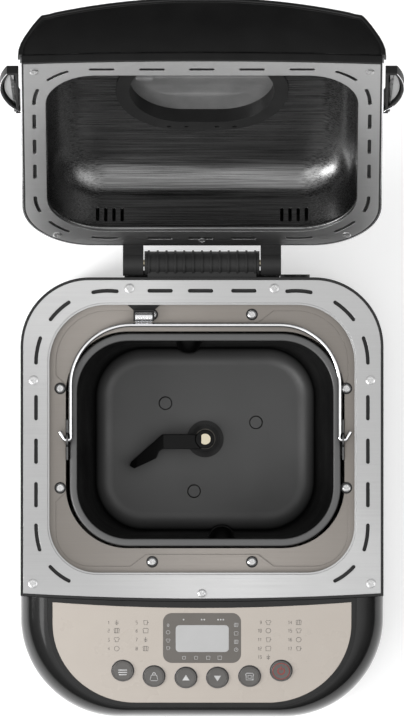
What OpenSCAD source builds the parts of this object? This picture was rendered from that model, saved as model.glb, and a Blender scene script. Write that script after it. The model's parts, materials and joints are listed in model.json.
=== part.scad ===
// Bread machine with a hinged lid, a lift-out pan, a belt-driven paddle and a sloping control console.
// Drawn with the lid open, standing on its feet. +X is to the right, -Y to the front, +Z up.

/* [Body] */
// Width of the body
body_w = 262; // [250:1:310]
// Depth of the body, without the hinge
body_d = 318; // [305:1:370]
// Height of the deck's rim plate above the worktop
deck_z = 228; // [215:1:270]
// Plan radius of the two rear corners
rear_r = 50; // [40:1:55]
// Plan radius of the two front corners
front_r = 72; // [60:1:80]
// Wall of the body shell
shell_wall = 2; // [1.5:0.1:3]
// Height of the feet
foot_h = 8; // [6:1:14]

/* [Deck and oven] */
// Depth of the deck, from the rear of the body to the console
deck_d = 232; // [228:1:260]
// Width of the deck opening
opening_w = 223; // [215:1:228]
// Depth of the deck opening
opening_d = 196; // [188:1:200]
// Distance from the rear of the body to the deck opening
opening_back = 18.5; // [16:0.5:24]
// Thickness of the rim plates
plate_t = 2; // [1.5:0.1:2.5]
// Thickness of the oven's sheet steel
sheet_t = 1; // [0.8:0.1:1.5]
// Height of the chassis plate's top
chassis_z = 56; // [50:1:70]

/* [Pan] */
// Width of the pan over its rim
pan_w = 196; // [180:1:198]
// Depth of the pan over its rim, front to back
pan_d = 154; // [140:1:156]
// Sideways offset of the pan from the middle of the body
pan_x = 2.3; // [0:0.1:4]
// Height of the pan's floor above the chassis plate
pan_floor_h = 28; // [26:1:40]
// Wall of the pan
pan_wall = 1.5; // [1.2:0.1:2.5]
// Diameter of the bail wire
bail_wire_d = 3; // [2.5:0.1:3.4]
// Diameter of the kneading shaft
shaft_d = 8; // [7:0.5:9]

/* [Lid] */
// Height of the lid above its rim at the front
lid_front_h = 53.8; // [48:0.2:60]
// Height of the lid above its rim in the middle
lid_top_h = 76; // [72:1:90]
// How far the lid is open
lid_open = 124; // [0:1:124]
// How far the roof of the lid's steel liner lies below the lid's front edge
liner_drop = 1.8; // [1.8:0.1:8]
// Width of the oval window opening
window_w = 104; // [90:1:112]
// Depth of the oval window opening
window_d = 78; // [66:1:84]

/* [Console] */
// Slope of the control console
console_slope = 17; // [12:1:22]
// Diameter of the push buttons
button_d = 15.4; // [13:0.1:17]
// Travel of the push buttons
button_travel = 1; // [0.6:0.1:1.5]
// Gap round a push button
button_gap = 0.25; // [0.15:0.05:0.4]

/* [Drive] */
// Diameter of the large pulley
pulley_d = 96; // [80:1:110]
// Diameter of the small pulley
pinion_d = 16; // [12:1:20]
// Distance from the paddle shaft to the motor, front to back
motor_back = 146; // [140:1:150]
// Diameter of the motor
motor_d = 70; // [60:1:74]
// Running clearance of shafts and pins, on the radius
running = 0.05; // [0.02:0.01:0.09]

/* [Hidden] */
$fn = 64;

gap = 0.3;                       // free gap between pieces that move past each other
eps = 0.01;

// Body plan
half_w = body_w / 2;
rear_y = body_d / 2;
front_y = -body_d / 2;
deck_front_y = rear_y - deck_d;
lip = 1.8;                       // width of the black lip round the rim plates
deck_crown_r = 2200;             // plan radius of the bowed front edge of the deck
seam = 0.3;                      // joint line between the deck and the console
tray_h = 12;                     // height of the base tray's wall
shell_z = foot_h + tray_h;
bezel_t = 4;
bezel_z = deck_z - plate_t - bezel_t;

// Deck opening and oven
opening_y = rear_y - opening_back - opening_d / 2;
opening_rear_r = 43;
opening_front_r = 36;
collar_t = 1.6;                  // rolled edge of the rim plate's opening
flange_z = deck_z - 8;           // top of the chamber flange plate
flange_t = 1;
tab_y = opening_y + 0.1;
oven_z = chassis_z;
oven_w = opening_w - 7;
oven_d = opening_d - 6;
slot_w = 2.6;
slot_l = 18.2;

// Pan
pan_y = opening_y - 0.8;
pan_rim_z = deck_z - 5;
pan_rim_r = 43;
pan_lip = 5.8;                   // width of the pan's rim
pan_floor_z = chassis_z + pan_floor_h;
pan_floor_w = pan_w - 35;
pan_floor_d = pan_d - 20;
wire_r = bail_wire_d / 2;
bail_z = pan_rim_z + 2 + wire_r; // height of the bail's pivot
bail_x = pan_w / 2 - 0.8;        // half spacing of the bail's legs
bail_reach = 82.9;
bail_bend_r = 43.5;
hook_angle = 58;
hook_l = 6;                      // length of the hook outside each lug
lug_in = bail_x + wire_r + gap;
lug_t = 1.2;
cavity_w = 2 * (lug_in + lug_t + 0.4);
cavity_d = pan_d + 2.4;
rib_r = 9.6;
rib_x = 12;
rivet_pcd = 78;

// Drive
shaft_r = shaft_d / 2;
bush_r = shaft_r + 3.5;
housing_r = bush_r + 3.5;
pulley_z = foot_h + 12;
pulley_h = 12;
belt_t = 2;
belt_w = 8;
motor_x = -34;
motor_dy = -sqrt(motor_back * motor_back - (motor_x - pan_x) * (motor_x - pan_x));
motor_z = chassis_z + 1;
motor_h = 62;
rotor_r = 3;

// Console
slope = tan(console_slope);
console_y = deck_front_y - 4.4;  // rear edge of the console
console_z = deck_z - 2.4;
panel_half_w = 108;
panel_r = 60;
panel_front = front_y + 10.4;
frame_w = 3.2;
panel_t = 3;
panel_rear_y = deck_front_y - 6.6;   // rear edge of the panel in the middle
panel_crown_r = 1400;            // plan radius of the panel's bowed rear edge
frame_t = 9;
bumper_drop = 20;                // how far the bumper's bullnose falls below the slope
apron_t = 2;
apron_h = 16;                    // height of the apron behind the console, below the bezel
button_proud = 1.6;
row_y = deck_front_y - 55;
button_x = [-57.3, -34.7, -11.6, 11.2, 34.4, 57.2];
button_dy = [2.9, -1.1, -2.1, -2.1, -1.1, 2.9];
board_n = -13;                   // top of the control board, below the panel's face

// Lid
hinge_y = rear_y + 10.3;
hinge_z = deck_z - 6;
rim_gap = 2;                     // between the two rim plates when closed
lid_z = deck_z + rim_gap;
lid_half_w = half_w - 1.6;
lid_frame_h = 6;
lid_wall = 2.5;
liner_h = lid_front_h - liner_drop;
lid_front_y = deck_front_y - 3.6;
fascia_back_y = lid_front_y + 6.5;
trim_t = 1.2;
window_y = deck_front_y + 107.7;
window_ring = 10;
window_z = lid_z + liner_h - sheet_t;
grip_y = fascia_back_y + 32.1;
grip_r = 36;
pin_r = 2.5;
knuckle_r = 9.3;

// Middle of the open machine, front to back, which is put at the origin
lid_reach = hinge_y - lid_front_y;
rise = hinge_z - lid_z;
open_rear = hinge_y - lid_reach * cos(lid_open) + (lid_front_h - rise) * sin(lid_open);
mid_y = (front_y + max(open_rear, hinge_y + knuckle_r)) / 2;

// Fastenings, oven, drive, pan and lid details
screw_hole = 3.2;
screw_shank = 3;
rim_screw_at = [[-52.3, rear_y - 8], [52.3, rear_y - 8],
                [-half_w + 9.4, rear_y - 74.3], [half_w - 9.4, rear_y - 74.3],
                [-half_w + 9, deck_front_y + 11], [half_w - 9, deck_front_y + 11]];
lid_screw_at = [[-half_w + 11.6, deck_front_y + 13], [half_w - 11.6, deck_front_y + 13],
                [-half_w + 26.6, rear_y - 14], [half_w - 26.6, rear_y - 14], [0, rear_y - 7]];
flange_screw_at = [[-36, tab_y + 89.6], [36, tab_y + 89.6], [-102.4, tab_y + 36.2],
      [-102.4, tab_y - 35.6],
                   [104.2, tab_y + 36.2], [104.2, tab_y - 35.6], [-36, tab_y - 89], [36, tab_y - 89]];
foot_at = [[-96, front_y + 40], [96, front_y + 40], [-96, rear_y - 32], [96, rear_y - 32]];
gland_x = half_w - rear_r - 13;
gland_z = 42;
gland_r = 8;
element_r = 3.3;
element_z = chassis_z + 20;
element_y = [opening_y - 12, opening_y + 12];
element_w = oven_w - 18;
element_d = oven_d - 24;
element_bend = 36;
probe_x = -42;
probe_y = rear_y - 28.6;
probe_z = flange_z + 6.2;
seat_r = 57;
bush_at = [pulley_z + pulley_h + 3, chassis_z + 1];
drive_top = chassis_z + 13;
dog_top = drive_top + 9;           // top of the drive coupling's dogs
belt_gap = 0.06;
board_t = 1.6;
power_board_h = 42;              // height of the power board above the chassis plate
lcd_w = 38.4;
lcd_d = 20.4;
lcd_y = up_slope(deck_front_y - 28.9);
key_h = 3.5;
rib_y = pan_d / 2 - pan_lip + 1.2;
rivet_angle = [138, 18, 258];
ring_z = chassis_z + sheet_t + 0.2;
ring_r = seat_r - 1.9;
shaft_flat = 1.2;
paddle_z = pan_floor_z + pan_wall + 3;
paddle_h = 22;
glass_z = window_z + 10;
arm_x0 = 42.3;
arm_x1 = 57.1;

// ---- shared shapes ----

// Rectangle with round corners, one radius in front and one at the rear
module plan(half, y0, y1, rf, rr) {
  union() {
    translate([-half, y0 + rf]) square([2 * half, y1 - rr - y0 - rf]);
    translate([-half + rf, y0]) square([2 * (half - rf), rf + 1]);
    translate([-half + rr, y1 - rr - 1]) square([2 * (half - rr), rr + 1]);
    for (s = [-1, 1]) {
      translate([s * (half - rf), y0 + rf]) circle(rf);
      translate([s * (half - rr), y1 - rr]) circle(rr);
    }
  }
}

// Body plan, moved in by i
module body_plan(i = 0) {
  plan(half_w - i, front_y + i, rear_y - i, front_r - i, rear_r - i);
}

// Deck plan, moved in by i, with its bowed front edge at y
module deck_plan(half, y, i = 0) {
  intersection() {
    plan(half - i, y - 5, rear_y - i, 3, rear_r - i);
    translate([0, y + deck_crown_r]) circle(deck_crown_r, $fn = 360);
  }
}

// How far back a bowed edge of radius r lies at x, and points along it across the body
function bow(x, r) = r - sqrt(r * r - x * x);
function bowed_edge(y, r, n = 14) =
  [for (k = [0:n]) let (x = (2 * k / n - 1) * (half_w + 2)) [x, y + bow(x, r)]];

// Strip across the body from a bowed front edge at y to a straight edge, depth behind it
module bowed_plan(y, depth) {
  polygon(concat(bowed_edge(y, deck_crown_r), [[half_w + 2, y + depth], [-half_w - 2, y + depth]]));
}

// Everything in front of the deck, up to the joint line
module ahead_of_seam() {
  linear_extrude(deck_z + 10) polygon(concat(bowed_edge(deck_front_y - lip - seam, deck_crown_r),
    [[half_w + 2, front_y - 5], [-half_w - 2, front_y - 5]]));
}

// Deck opening, moved in by i
module opening_plan(i = 0) {
  plan(opening_w / 2 - i, opening_y - opening_d / 2 + i, opening_y + opening_d / 2 - i,
       opening_front_r - i, opening_rear_r - i);
}

module at_pan() { translate([pan_x, pan_y, 0]) children(); }

// Rectangle round the pan's middle with equal corners
module pan_plan(w, d, r) { plan(w / 2, -d / 2, d / 2, r, r); }

// Tub with upright walls and a filleted floor, from z0 up to z1, as one smooth body
module tub(w0, d0, r0, w1, d1, r1, fillet, z0, z1) {
  hull() {
    for (sx = [-1, 1], sy = [-1, 1]) {
      translate([sx * (w1 / 2 - r1), sy * (d1 / 2 - r1), z1 - 1]) cylinder(r = r1, h = 1, $fn = 40);
      translate([sx * (w0 / 2 - r0), sy * (d0 / 2 - r0), z0 + fillet])
        rotate_extrude($fn = 40)
          polygon([for (a = [0:-15:-90]) [r0 - fillet + fillet * cos(a), fillet * sin(a)], [0, -fillet],
                [0, 0]]);
    }
  }
}

// Straight slot with round ends
module slot(l, w, h) {
  translate([-(l - w) / 2, -w / 2, 0]) cube([l - w, w, h]);
  for (s = [-1, 1]) translate([s * (l - w) / 2, 0, 0]) cylinder(d = w, h = h);
}

// Slot bent round a centre, at radius r, between two angles
module arc_slot(r, a0, a1, w, h) {
  rotate([0, 0, a0]) rotate_extrude(angle = a1 - a0) translate([r - w / 2, 0]) square([w, h]);
  for (a = [a0, a1]) rotate([0, 0, a]) translate([r, 0, 0]) cylinder(d = w - 0.04, h = h);
}

// Air slots of a rim plate: straight ones along the edges and bent ones round the corners
module air_slots(z, front_row) {
  inset = (body_w - opening_w) / 4 - 0.3;
  sx = opening_w / 2 + inset - 1.2;
  rear = opening_y + opening_d / 2 + 8.8;
  translate([0, 0, z]) {
    for (x = [-30.2, -1, 30.2]) translate([x, rear, 0]) slot(slot_l, slot_w, 9);
    for (s = [-1, 1]) {
      for (y = [-1, 0, 1]) translate([s * sx, opening_y + y * 31.4 - 9, 0]) rotate([0, 0, 90])
        slot(slot_l, slot_w, 9);
      corner_slots(s, sx);
      translate([s * (sx - 43), opening_y - opening_d / 2 + 35, 0])
        arc_slot(44, s > 0 ? -64 : 222, s > 0 ? -42 : 244, slot_w, 9);
      translate([s * (sx - 60), opening_y - 62.5, 0])
        arc_slot(60, s > 0 ? -17 : 180, s > 0 ? 0 : 197, slot_w, 9);
    }
    if (front_row)
      for (x = [-71.3, -35.6, 0, 35.6, 71.3])
        translate([x, opening_y - opening_d / 2 - 7.4, 0]) slot(slot_l, slot_w, 9);
  }
}

module corner_slots(s, sx) {
  r = opening_rear_r + 9;
  translate([s * (sx - r), opening_y + opening_d / 2 + 8.8 - r, 0]) {
    arc_slot(r, s > 0 ? 37 : 123, s > 0 ? 57 : 143, slot_w, 9);
    arc_slot(r, s > 0 ? 78 : 83, s > 0 ? 97 : 102, slot_w, 9);
    arc_slot(r, s > 0 ? 0 : 160, s > 0 ? 20 : 180, slot_w, 9);
  }
}

// Dished screw with a cross recess, its head standing on z = 0
module screw(head_d, head_h, shank_d, shank_l) {
  difference() {
    union() {
      cylinder(d = head_d, h = head_h * 0.6);
      translate([0, 0, head_h * 0.6]) cylinder(d1 = head_d, d2 = head_d * 0.7, h = head_h * 0.4);
      translate([0, 0, -shank_l]) cylinder(d = shank_d, h = shank_l + eps);
    }
    for (a = [0, 90]) rotate([0, 0, a]) translate([-head_d * 0.28, -0.4, head_h * 0.45])
      cube([head_d * 0.56, 0.8, head_h]);
  }
}

module at_points(points, z) { for (p = points) translate([p[0], p[1], z]) children(); }

// Frame of the sloping console: y runs up the slope, z is square to it
module on_console() { translate([0, console_y, console_z]) rotate([console_slope, 0, 0]) children(); }
function up_slope(y) = (y - console_y) / cos(console_slope);
module at_buttons() {
  for (i = [0:5]) translate([button_x[i], up_slope(row_y + button_dy[i]), 0]) children();
}
module at_button(i) { on_console() translate([button_x[i], up_slope(row_y + button_dy[i]), 0])
  children(); }

// Outline of the control panel on the slope, grown by g at its front and sides, and by rear_g at its rear
module panel_outline(g, rear_g) {
  y0 = up_slope(panel_front) - g;
  intersection() {
    plan(panel_half_w + g, y0, 14, panel_r + g, 1);
    polygon(concat([for (p = bowed_edge(panel_rear_y, panel_crown_r)) [p[0], up_slope(p[1]) + rear_g]],
                   [[half_w + 2, y0 - 5], [-half_w - 2, y0 - 5]]));
  }
}

// Layer of the front bumper: f is 0 at the outer wall and 1 at the panel frame
module bumper_layer(f, z, wall) {
  w = half_w - f * (half_w - panel_half_w - frame_w) - wall;
  y0 = front_y + f * (panel_front - frame_w - front_y) + wall;
  r = front_r + f * (panel_r + frame_w - front_r) - wall;
  multmatrix([[1, 0, 0, 0], [0, 1, 0, 0], [0, slope, 1, console_z - slope * console_y + z - wall],
        [0, 0, 0, 1]])
    linear_extrude(0.02) hull() {
      for (s = [-1, 1]) translate([s * (w - r), y0 + r]) circle(r, $fn = 64);
      translate([-w, console_y + 7]) square([2 * w, 1]);
    }
}
module bumper_dome(wall) {
  hull() for (a = [0:15:90]) bumper_layer(1 - cos(a), -bumper_drop * (1 - sin(a)), wall);
}

// Half profile of the lid seen from the front, for a top height h, moved in by i
module lid_profile(h, half, i = 0) {
  k = h / lid_front_h;
  crown_r = 440;
  top = [for (x = [half - 22:-(half - 22) / 10:0]) [x,
        h - i - k * (crown_r - sqrt(crown_r * crown_r - x * x))]];
  side = [[half - i, 0], [half - i - 0.4, 6 * k], [half - i - 2, 12 * k], [half - i - 7, 23 * k],
          [half - i - 14, 34.6 * k - i * 0.5], [half - i * 0.8 - 17, 37.6 * k - i * 0.7]];
  right = concat(side, top);
  left = [for (n = [len(right) - 2:-1:0]) [-right[n][0], right[n][1]]];
  polygon(concat(right, left));
}

// One cross slice of the lid at y
module lid_slice(y, h, half, i) {
  translate([0, y, lid_z + lid_frame_h]) rotate([90, 0, 0]) linear_extrude(0.6) lid_profile(h, half, i);
}

module lid_dome(i) {
  h1 = lid_top_h - lid_frame_h;
  h0 = lid_front_h - lid_frame_h;
  hull() {
    lid_slice(fascia_back_y + 0.6, h0, lid_half_w, i);
    for (t = [0.25, 0.5, 0.75])
      lid_slice(fascia_back_y + t * 150, h1 - (h1 - h0) * pow(1 - t, 3), lid_half_w, i);
    for (a = [10:16:90])
      lid_slice(rear_y - rear_r + (rear_r - i) * sin(a), h1 - 30 * (1 - cos(a)),
                lid_half_w - rear_r + rear_r * cos(a), i);
  }
}

// Everything that rides on the lid is drawn shut and then swung open about the hinge
module on_lid() {
  translate([0, hinge_y, hinge_z]) rotate([-lid_open, 0, 0]) translate([0, -hinge_y, -hinge_z])
    children();
}

module oval(w, d, h) {
  r = d / 2;
  translate([-(w - d) / 2, -r, 0]) cube([w - d, d, h]);
  for (s = [-1, 1]) translate([s * (w - d) / 2, 0, 0]) cylinder(r = r, h = h);
}

module placed() { translate([0, -mid_y, 0]) children(); }

// ---- body ----

module base_tray() color("#1b1b1c") placed() difference() {
  union() {
    translate([0, 0, foot_h]) linear_extrude(tray_h) body_plan(0.6);
    translate([0, 0, foot_h + 1]) linear_extrude(tray_h + 7) body_plan(shell_wall + 0.4);
  }
  translate([0, 0, foot_h + 3]) linear_extrude(tray_h + 20) body_plan(shell_wall + 3);
  at_points(foot_at, foot_h - 1) cylinder(d = 6.4, h = 6);
  for (x = [-60:15:60], y = [20, 70]) translate([x, y, foot_h - 1]) rotate([0, 0, 90]) slot(30, 4, 6);
}

module feet() color("#2a2a2a") placed() at_points(foot_at, 0) {
  cylinder(d1 = 22, d2 = 25, h = foot_h);
  cylinder(d = 6, h = foot_h + 5);
}

// Everything above the console's slope, lowered by drop, in front of the deck's corners
module console_cut(drop) {
  corner_y = deck_front_y - lip + bow(half_w, deck_crown_r);
  translate([-half_w - 5, 0, 0]) rotate([90, 0, 90]) linear_extrude(body_w + 10)
    polygon([[corner_y, console_z + 60], [corner_y, console_z - drop + slope * (corner_y - console_y)],
             [front_y - 20, console_z - drop - slope * (console_y - front_y + 20)],
             [front_y - 20, console_z + 60]]);
}

module body_shell() color("#b9b8b6") placed() difference() {
  translate([0, 0, shell_z]) linear_extrude(bezel_z - shell_z) body_plan(0);
  translate([0, 0, shell_z - 1]) linear_extrude(bezel_z) body_plan(shell_wall);
  console_cut(bumper_drop);
  // Side louvres and rear vents
  for (s = [-1, 1], n = [0:9]) translate([s * half_w, opening_y - 48 + n * 11, bezel_z - 34])
    rotate([0, 90, 0])
    translate([0, 0, -8]) slot(26, 3.4, 16);
  for (n = [-4:4]) translate([n * 11, rear_y + 5, 90]) rotate([90, 90, 0]) slot(34, 3.6, 14);
  translate([gland_x, rear_y + 5, gland_z]) rotate([90, 0, 0]) cylinder(r = gland_r, h = 12);
}

module cord_gland() color("#202020") placed()
  translate([gland_x, rear_y, gland_z]) rotate([90, 0, 0]) difference() {
  union() {
    translate([0, 0, -3]) cylinder(r = 11, h = 3 - eps);
    translate([0, 0, -eps]) cylinder(r = gland_r - 0.1, h = shell_wall + 6);
    translate([0, 0, shell_wall + 0.2]) cylinder(r = 10, h = 2);
  }
  translate([0, 0, -4]) cylinder(r = 3.6, h = 20);
}

module front_bumper() color("#161617") placed() difference() {
  intersection() {
    bumper_dome(0);
    ahead_of_seam();
  }
  bumper_dome(2.4);
  on_console() translate([0, 0, -20]) linear_extrude(30) panel_outline(frame_w + 0.15, 20);
}

module top_bezel() color("#191919") placed() difference() {
  union() {
    translate([0, 0, bezel_z]) linear_extrude(deck_z - bezel_z) deck_plan(half_w, deck_front_y - lip);
    translate([0, 0, bezel_z - 5]) linear_extrude(6)
      deck_plan(half_w, deck_front_y - lip, shell_wall + 0.3);
    // Apron that closes the body behind the console
    translate([0, 0, bezel_z - apron_h]) linear_extrude(apron_h + 1) difference() {
      deck_plan(half_w, deck_front_y - lip, shell_wall + 0.3);
      translate([-half_w, deck_front_y - lip + apron_t + bow(half_w, deck_crown_r)])
        square([body_w, deck_d]);
    }
  }
  translate([0, 0, deck_z - plate_t]) linear_extrude(plate_t + 1) deck_plan(half_w, deck_front_y, lip);
  translate([0, 0, bezel_z - 6]) linear_extrude(30) opening_plan(collar_t - 3.8);
  at_points(rim_screw_at, bezel_z - 6) cylinder(d = screw_hole, h = 20);
  translate([0, deck_front_y + 4, bezel_z - 6]) cylinder(d = screw_hole, h = 20);
}

module rim_plate() color("#cbc9c6") placed() difference() {
  union() {
    translate([0, 0, deck_z - plate_t]) linear_extrude(plate_t)
      deck_plan(half_w, deck_front_y + 0.15, lip + 0.15);
    translate([0, 0, flange_z + gap]) linear_extrude(deck_z - flange_z - 1.3) opening_plan(-0.8);
  }
  translate([0, 0, flange_z - 1]) linear_extrude(20) opening_plan(collar_t - 0.2);
  translate([0, 0, deck_z - 1]) linear_extrude(2) opening_plan(0);
  air_slots(deck_z - plate_t - 1, false);
  at_points(rim_screw_at, deck_z - 5) cylinder(d = screw_hole, h = 10);
  translate([0, deck_front_y + 4, deck_z - 5]) cylinder(d = screw_hole, h = 10);
}

module rim_screws() color("#d8d8d6") placed() {
  at_points(rim_screw_at, deck_z) screw(6.7, 0.9, screw_shank, 9);
  translate([0, deck_front_y + 4, deck_z]) screw(6, 1.1, screw_shank, 9);
}

// ---- oven ----

// Inner edge of the flange plate: a rounded opening with a tab reaching in on each side
module flange_edge() {
  difference() {
    plan(105.5, tab_y - 92.2, tab_y + 92.2, 25, 37.4);
    tab_x = cavity_w / 2;
    polygon([[-54, tab_y + 94], [-40.3, tab_y + 83.8], [40.3, tab_y + 83.8], [54, tab_y + 94]]);
    polygon([[-54, tab_y - 94], [-40.3, tab_y - 83.6], [40.3, tab_y - 83.6], [54, tab_y - 94]]);
    for (s = [-1, 1]) {
      x = s * tab_x + pan_x;
      e = s * 108;
      polygon([[e, tab_y + 48], [x, tab_y + 38.4], [x, tab_y - 38.4], [e, tab_y - 48]]);
    }
  }
}

module chamber_flange() color("#a3998f") placed() difference() {
  translate([0, 0, flange_z - flange_t]) linear_extrude(flange_t) opening_plan(collar_t - 3.4);
  translate([0, 0, flange_z - 3]) linear_extrude(6) flange_edge();
  at_points(flange_screw_at, flange_z - 4) cylinder(d = screw_hole, h = 8);
}

module flange_screws() color("#6c6a68") placed()
  at_points(flange_screw_at, flange_z) screw(6.2, 1.4, screw_shank, 4);

module oven_liner() color("#b0aaa4") placed() {
  top_z = flange_z - flange_t;
  difference() {
    union() {
      translate([0, 0, top_z - 1.4]) linear_extrude(1.4) opening_plan(collar_t - 3.4);
      translate([0, 0, oven_z]) linear_extrude(top_z - oven_z - 0.4)
        plan(oven_w / 2, opening_y - oven_d / 2, opening_y + oven_d / 2, 30, 34);
    }
    translate([0, 0, oven_z + sheet_t]) linear_extrude(top_z - 1.4 - oven_z - sheet_t)
      plan(oven_w / 2 - sheet_t, opening_y - oven_d / 2 + sheet_t, opening_y + oven_d / 2 - sheet_t, 29,
            33);
    at_pan() translate([0, 0, top_z - 6]) linear_extrude(12)
      pan_plan(cavity_w, cavity_d, pan_rim_r + 1.6);
    at_pan() translate([0, 0, oven_z - 1]) cylinder(r = housing_r + 0.6, h = 6);
    at_points(flange_screw_at, top_z - 6) cylinder(d = screw_hole, h = 12);
    for (y = element_y) translate([0, y, element_z]) rotate([0, 90, 0])
      cylinder(r = element_r + 1.2, h = half_w);
  }
}

module tube_run(from, to, r) {
  v = to - from;
  translate(from) rotate([0, acos(v[2] / norm(v)), atan2(v[1], v[0])]) cylinder(r = r, h = norm(v));
}
module bend(p, a0, big, r, sweep = 90) {
  translate(p) rotate([0, 0, a0]) rotate_extrude(angle = sweep) translate([big, 0]) circle(r);
}

module heating_element() color("#77716b") placed() {
  w = element_w / 2;
  d = element_d / 2;
  b = element_bend;
  y = opening_y;
  z = element_z;
  for (s = [-1, 1]) {
    tube_run([-w + b, y + s * d, z], [w - b, y + s * d, z], element_r);
    tube_run([w, y + s * (d - b), z], [w, y + s * 20, z], element_r);
  }
  tube_run([-w, y - d + b, z], [-w, y + d - b, z], element_r);
  for (q = [[-1, -1, 180], [1, -1, 270], [1, 1, 0], [-1, 1, 90]])
    bend([q[0] * (w - b), y + q[1] * (d - b), z], q[2], b, element_r);
  // The two ends turn out through the side wall to their terminals
  bend([w + 8, y + 20, z], 180, 8, element_r);
  bend([w + 8, y - 20, z], 90, 8, element_r);
  for (s = [-1, 1]) {
    tube_run([w + 8, y + s * 12, z], [half_w - shell_wall - 6, y + s * 12, z], element_r);
    translate([half_w - shell_wall - 6 - eps, y + s * 12 - 3, z - 0.4]) cube([5, 6, 0.8]);
  }
}

module element_clips() color("#8d8985") placed() {
  w = element_w / 2;
  z = element_z + element_r;
  for (s = [-1, 1], x = [-40, 40])
    translate([x - 4, opening_y + s * (element_d / 2), 0]) {
      translate([0, s > 0 ? -5 : -(oven_d - element_d) / 2 + sheet_t + 0.02, z + 0.02])
        cube([8, (oven_d - element_d) / 2 - sheet_t + 5 - 0.04, 1]);
      translate([0, s > 0 ? -5 : 4, z - 7]) cube([8, 1, 7.1]);
    }
}

module temperature_probe() color("#c9c9c9") placed()
  translate([probe_x - 6.2, probe_y, probe_z]) rotate([0, 90, 0]) {
  cylinder(r = 4, h = 12.4);
  for (n = [1:2:11]) translate([0, 0, n - 0.4]) cylinder(r = 4.3, h = 0.8);
}

module probe_bracket() color("#0f0f0f") placed() {
  y = probe_y + 4.6;
  translate([probe_x, 0, 0]) difference() {
    union() {
      translate([0, 0, flange_z + 0.02]) linear_extrude(1.6)
        polygon([[-6, y - 1], [6, y - 1], [11.6, y + 3.9], [-11.6, y + 3.9]]);
      translate([-7.5, y - 1.6, flange_z + 0.02]) cube([15, 2, 8]);
      for (s = [-1, 1]) translate([s * 6.9 - 0.6, probe_y - 3, flange_z + 2]) cube([1.2, 6.2, 7]);
      for (s = [-1, 1]) translate([s * 6.9 - 0.6, probe_y + 2, flange_z + 2]) cube([1.2, 3, 6]);
    }
    translate([-20, probe_y, probe_z]) rotate([0, 90, 0]) cylinder(r = 1, h = 40);
    translate([-6.25, probe_y, probe_z]) rotate([0, 90, 0]) cylinder(r = 4.35, h = 12.5);
    translate([-probe_x, 0, 0]) at_points([flange_screw_at[0]], flange_z - 1) cylinder(d = 6.8, h = 3);
  }
}

// ---- pan seat and drive ----

module pan_seat() color("#9a9690") placed() at_pan() difference() {
  union() {
    translate([0, 0, oven_z + sheet_t]) cylinder(r = seat_r + 6, h = 1.2);
    translate([0, 0, oven_z + sheet_t]) cylinder(r = seat_r, h = 12);
  }
  translate([0, 0, oven_z]) cylinder(r = seat_r - 1.5, h = 20);
  for (a = [0:120:240]) rotate([0, 0, a + 30]) translate([seat_r - 6, -9, oven_z + sheet_t + 4])
    cube([12, 18, 12]);
}

module chassis_plate() color("#a8a9aa") placed() difference() {
  union() {
    translate([0, 0, chassis_z - 2]) linear_extrude(2) body_plan(shell_wall + 9);
    at_points(foot_at, foot_h + 3) cylinder(r = 6, h = chassis_z - foot_h - 4);
  }
  at_pan() translate([0, 0, chassis_z - 6]) cylinder(r = housing_r + 0.1, h = 10);
  at_pan() translate([motor_x - pan_x, motor_dy, chassis_z - 6]) cylinder(r = 13, h = 10);
  for (s = [-1, 1]) translate([s * 70, pan_y - 90, chassis_z - 6]) slot(40, 12, 10);
  at_points(foot_at, 0) cylinder(d = 6.4, h = foot_h + 12);
}

module bearing_housing() color("#8a8c90") placed() at_pan() difference() {
  union() {
    translate([0, 0, pulley_z + pulley_h + 3])
      cylinder(r = housing_r, h = chassis_z + 9 - pulley_z - pulley_h - 3);
    translate([0, 0, chassis_z - 5]) cylinder(r = housing_r + 8, h = 3 - 0.02);
  }
  cylinder(r = shaft_r + 1.2, h = 100);
  for (z = bush_at) translate([0, 0, z - 0.02]) cylinder(r = bush_r, h = 8.04);
}

module drive_bushes() color("#b08d57") placed()
  at_pan() for (z = bush_at) translate([0, 0, z]) difference() {
  cylinder(r = bush_r - 0.01, h = 8);
  translate([0, 0, -1]) cylinder(r = shaft_r + running, h = 12);
}

module drive_shaft() color("#cfcfd1") placed() at_pan() {
  translate([0, 0, pulley_z - 3]) cylinder(r = shaft_r, h = drive_top - pulley_z + 3);
}

module drive_coupling() color("#4a4b4d") placed() at_pan() difference() {
  union() {
    translate([0, 0, drive_top - 4]) cylinder(r = 13, h = 6);
    for (s = [-1, 1]) translate([s * 9 - 3, -4, drive_top + 2 - eps])
      cube([6, 8, dog_top - drive_top - 2]);
  }
  translate([0, 0, drive_top - 5]) cylinder(r = shaft_r + 0.01, h = 5);
}

module large_pulley() color("#39393b") placed() at_pan() difference() {
  union() {
    translate([0, 0, pulley_z + 2]) cylinder(d = pulley_d, h = belt_w + 0.6);
    for (z = [0, pulley_h - 1.4]) translate([0, 0, pulley_z + z])
      cylinder(d = pulley_d + 6, h = 2 - (z > 0 ? 0.6 : 0));
    translate([0, 0, pulley_z - 2]) cylinder(r = 11, h = pulley_h + 4);
  }
  translate([0, 0, pulley_z - 4]) cylinder(r = shaft_r + 0.01, h = 30);
  for (a = [0:60:300]) rotate([0, 0, a]) translate([29, 0, pulley_z - 1]) cylinder(r = 9, h = 20);
}

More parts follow.
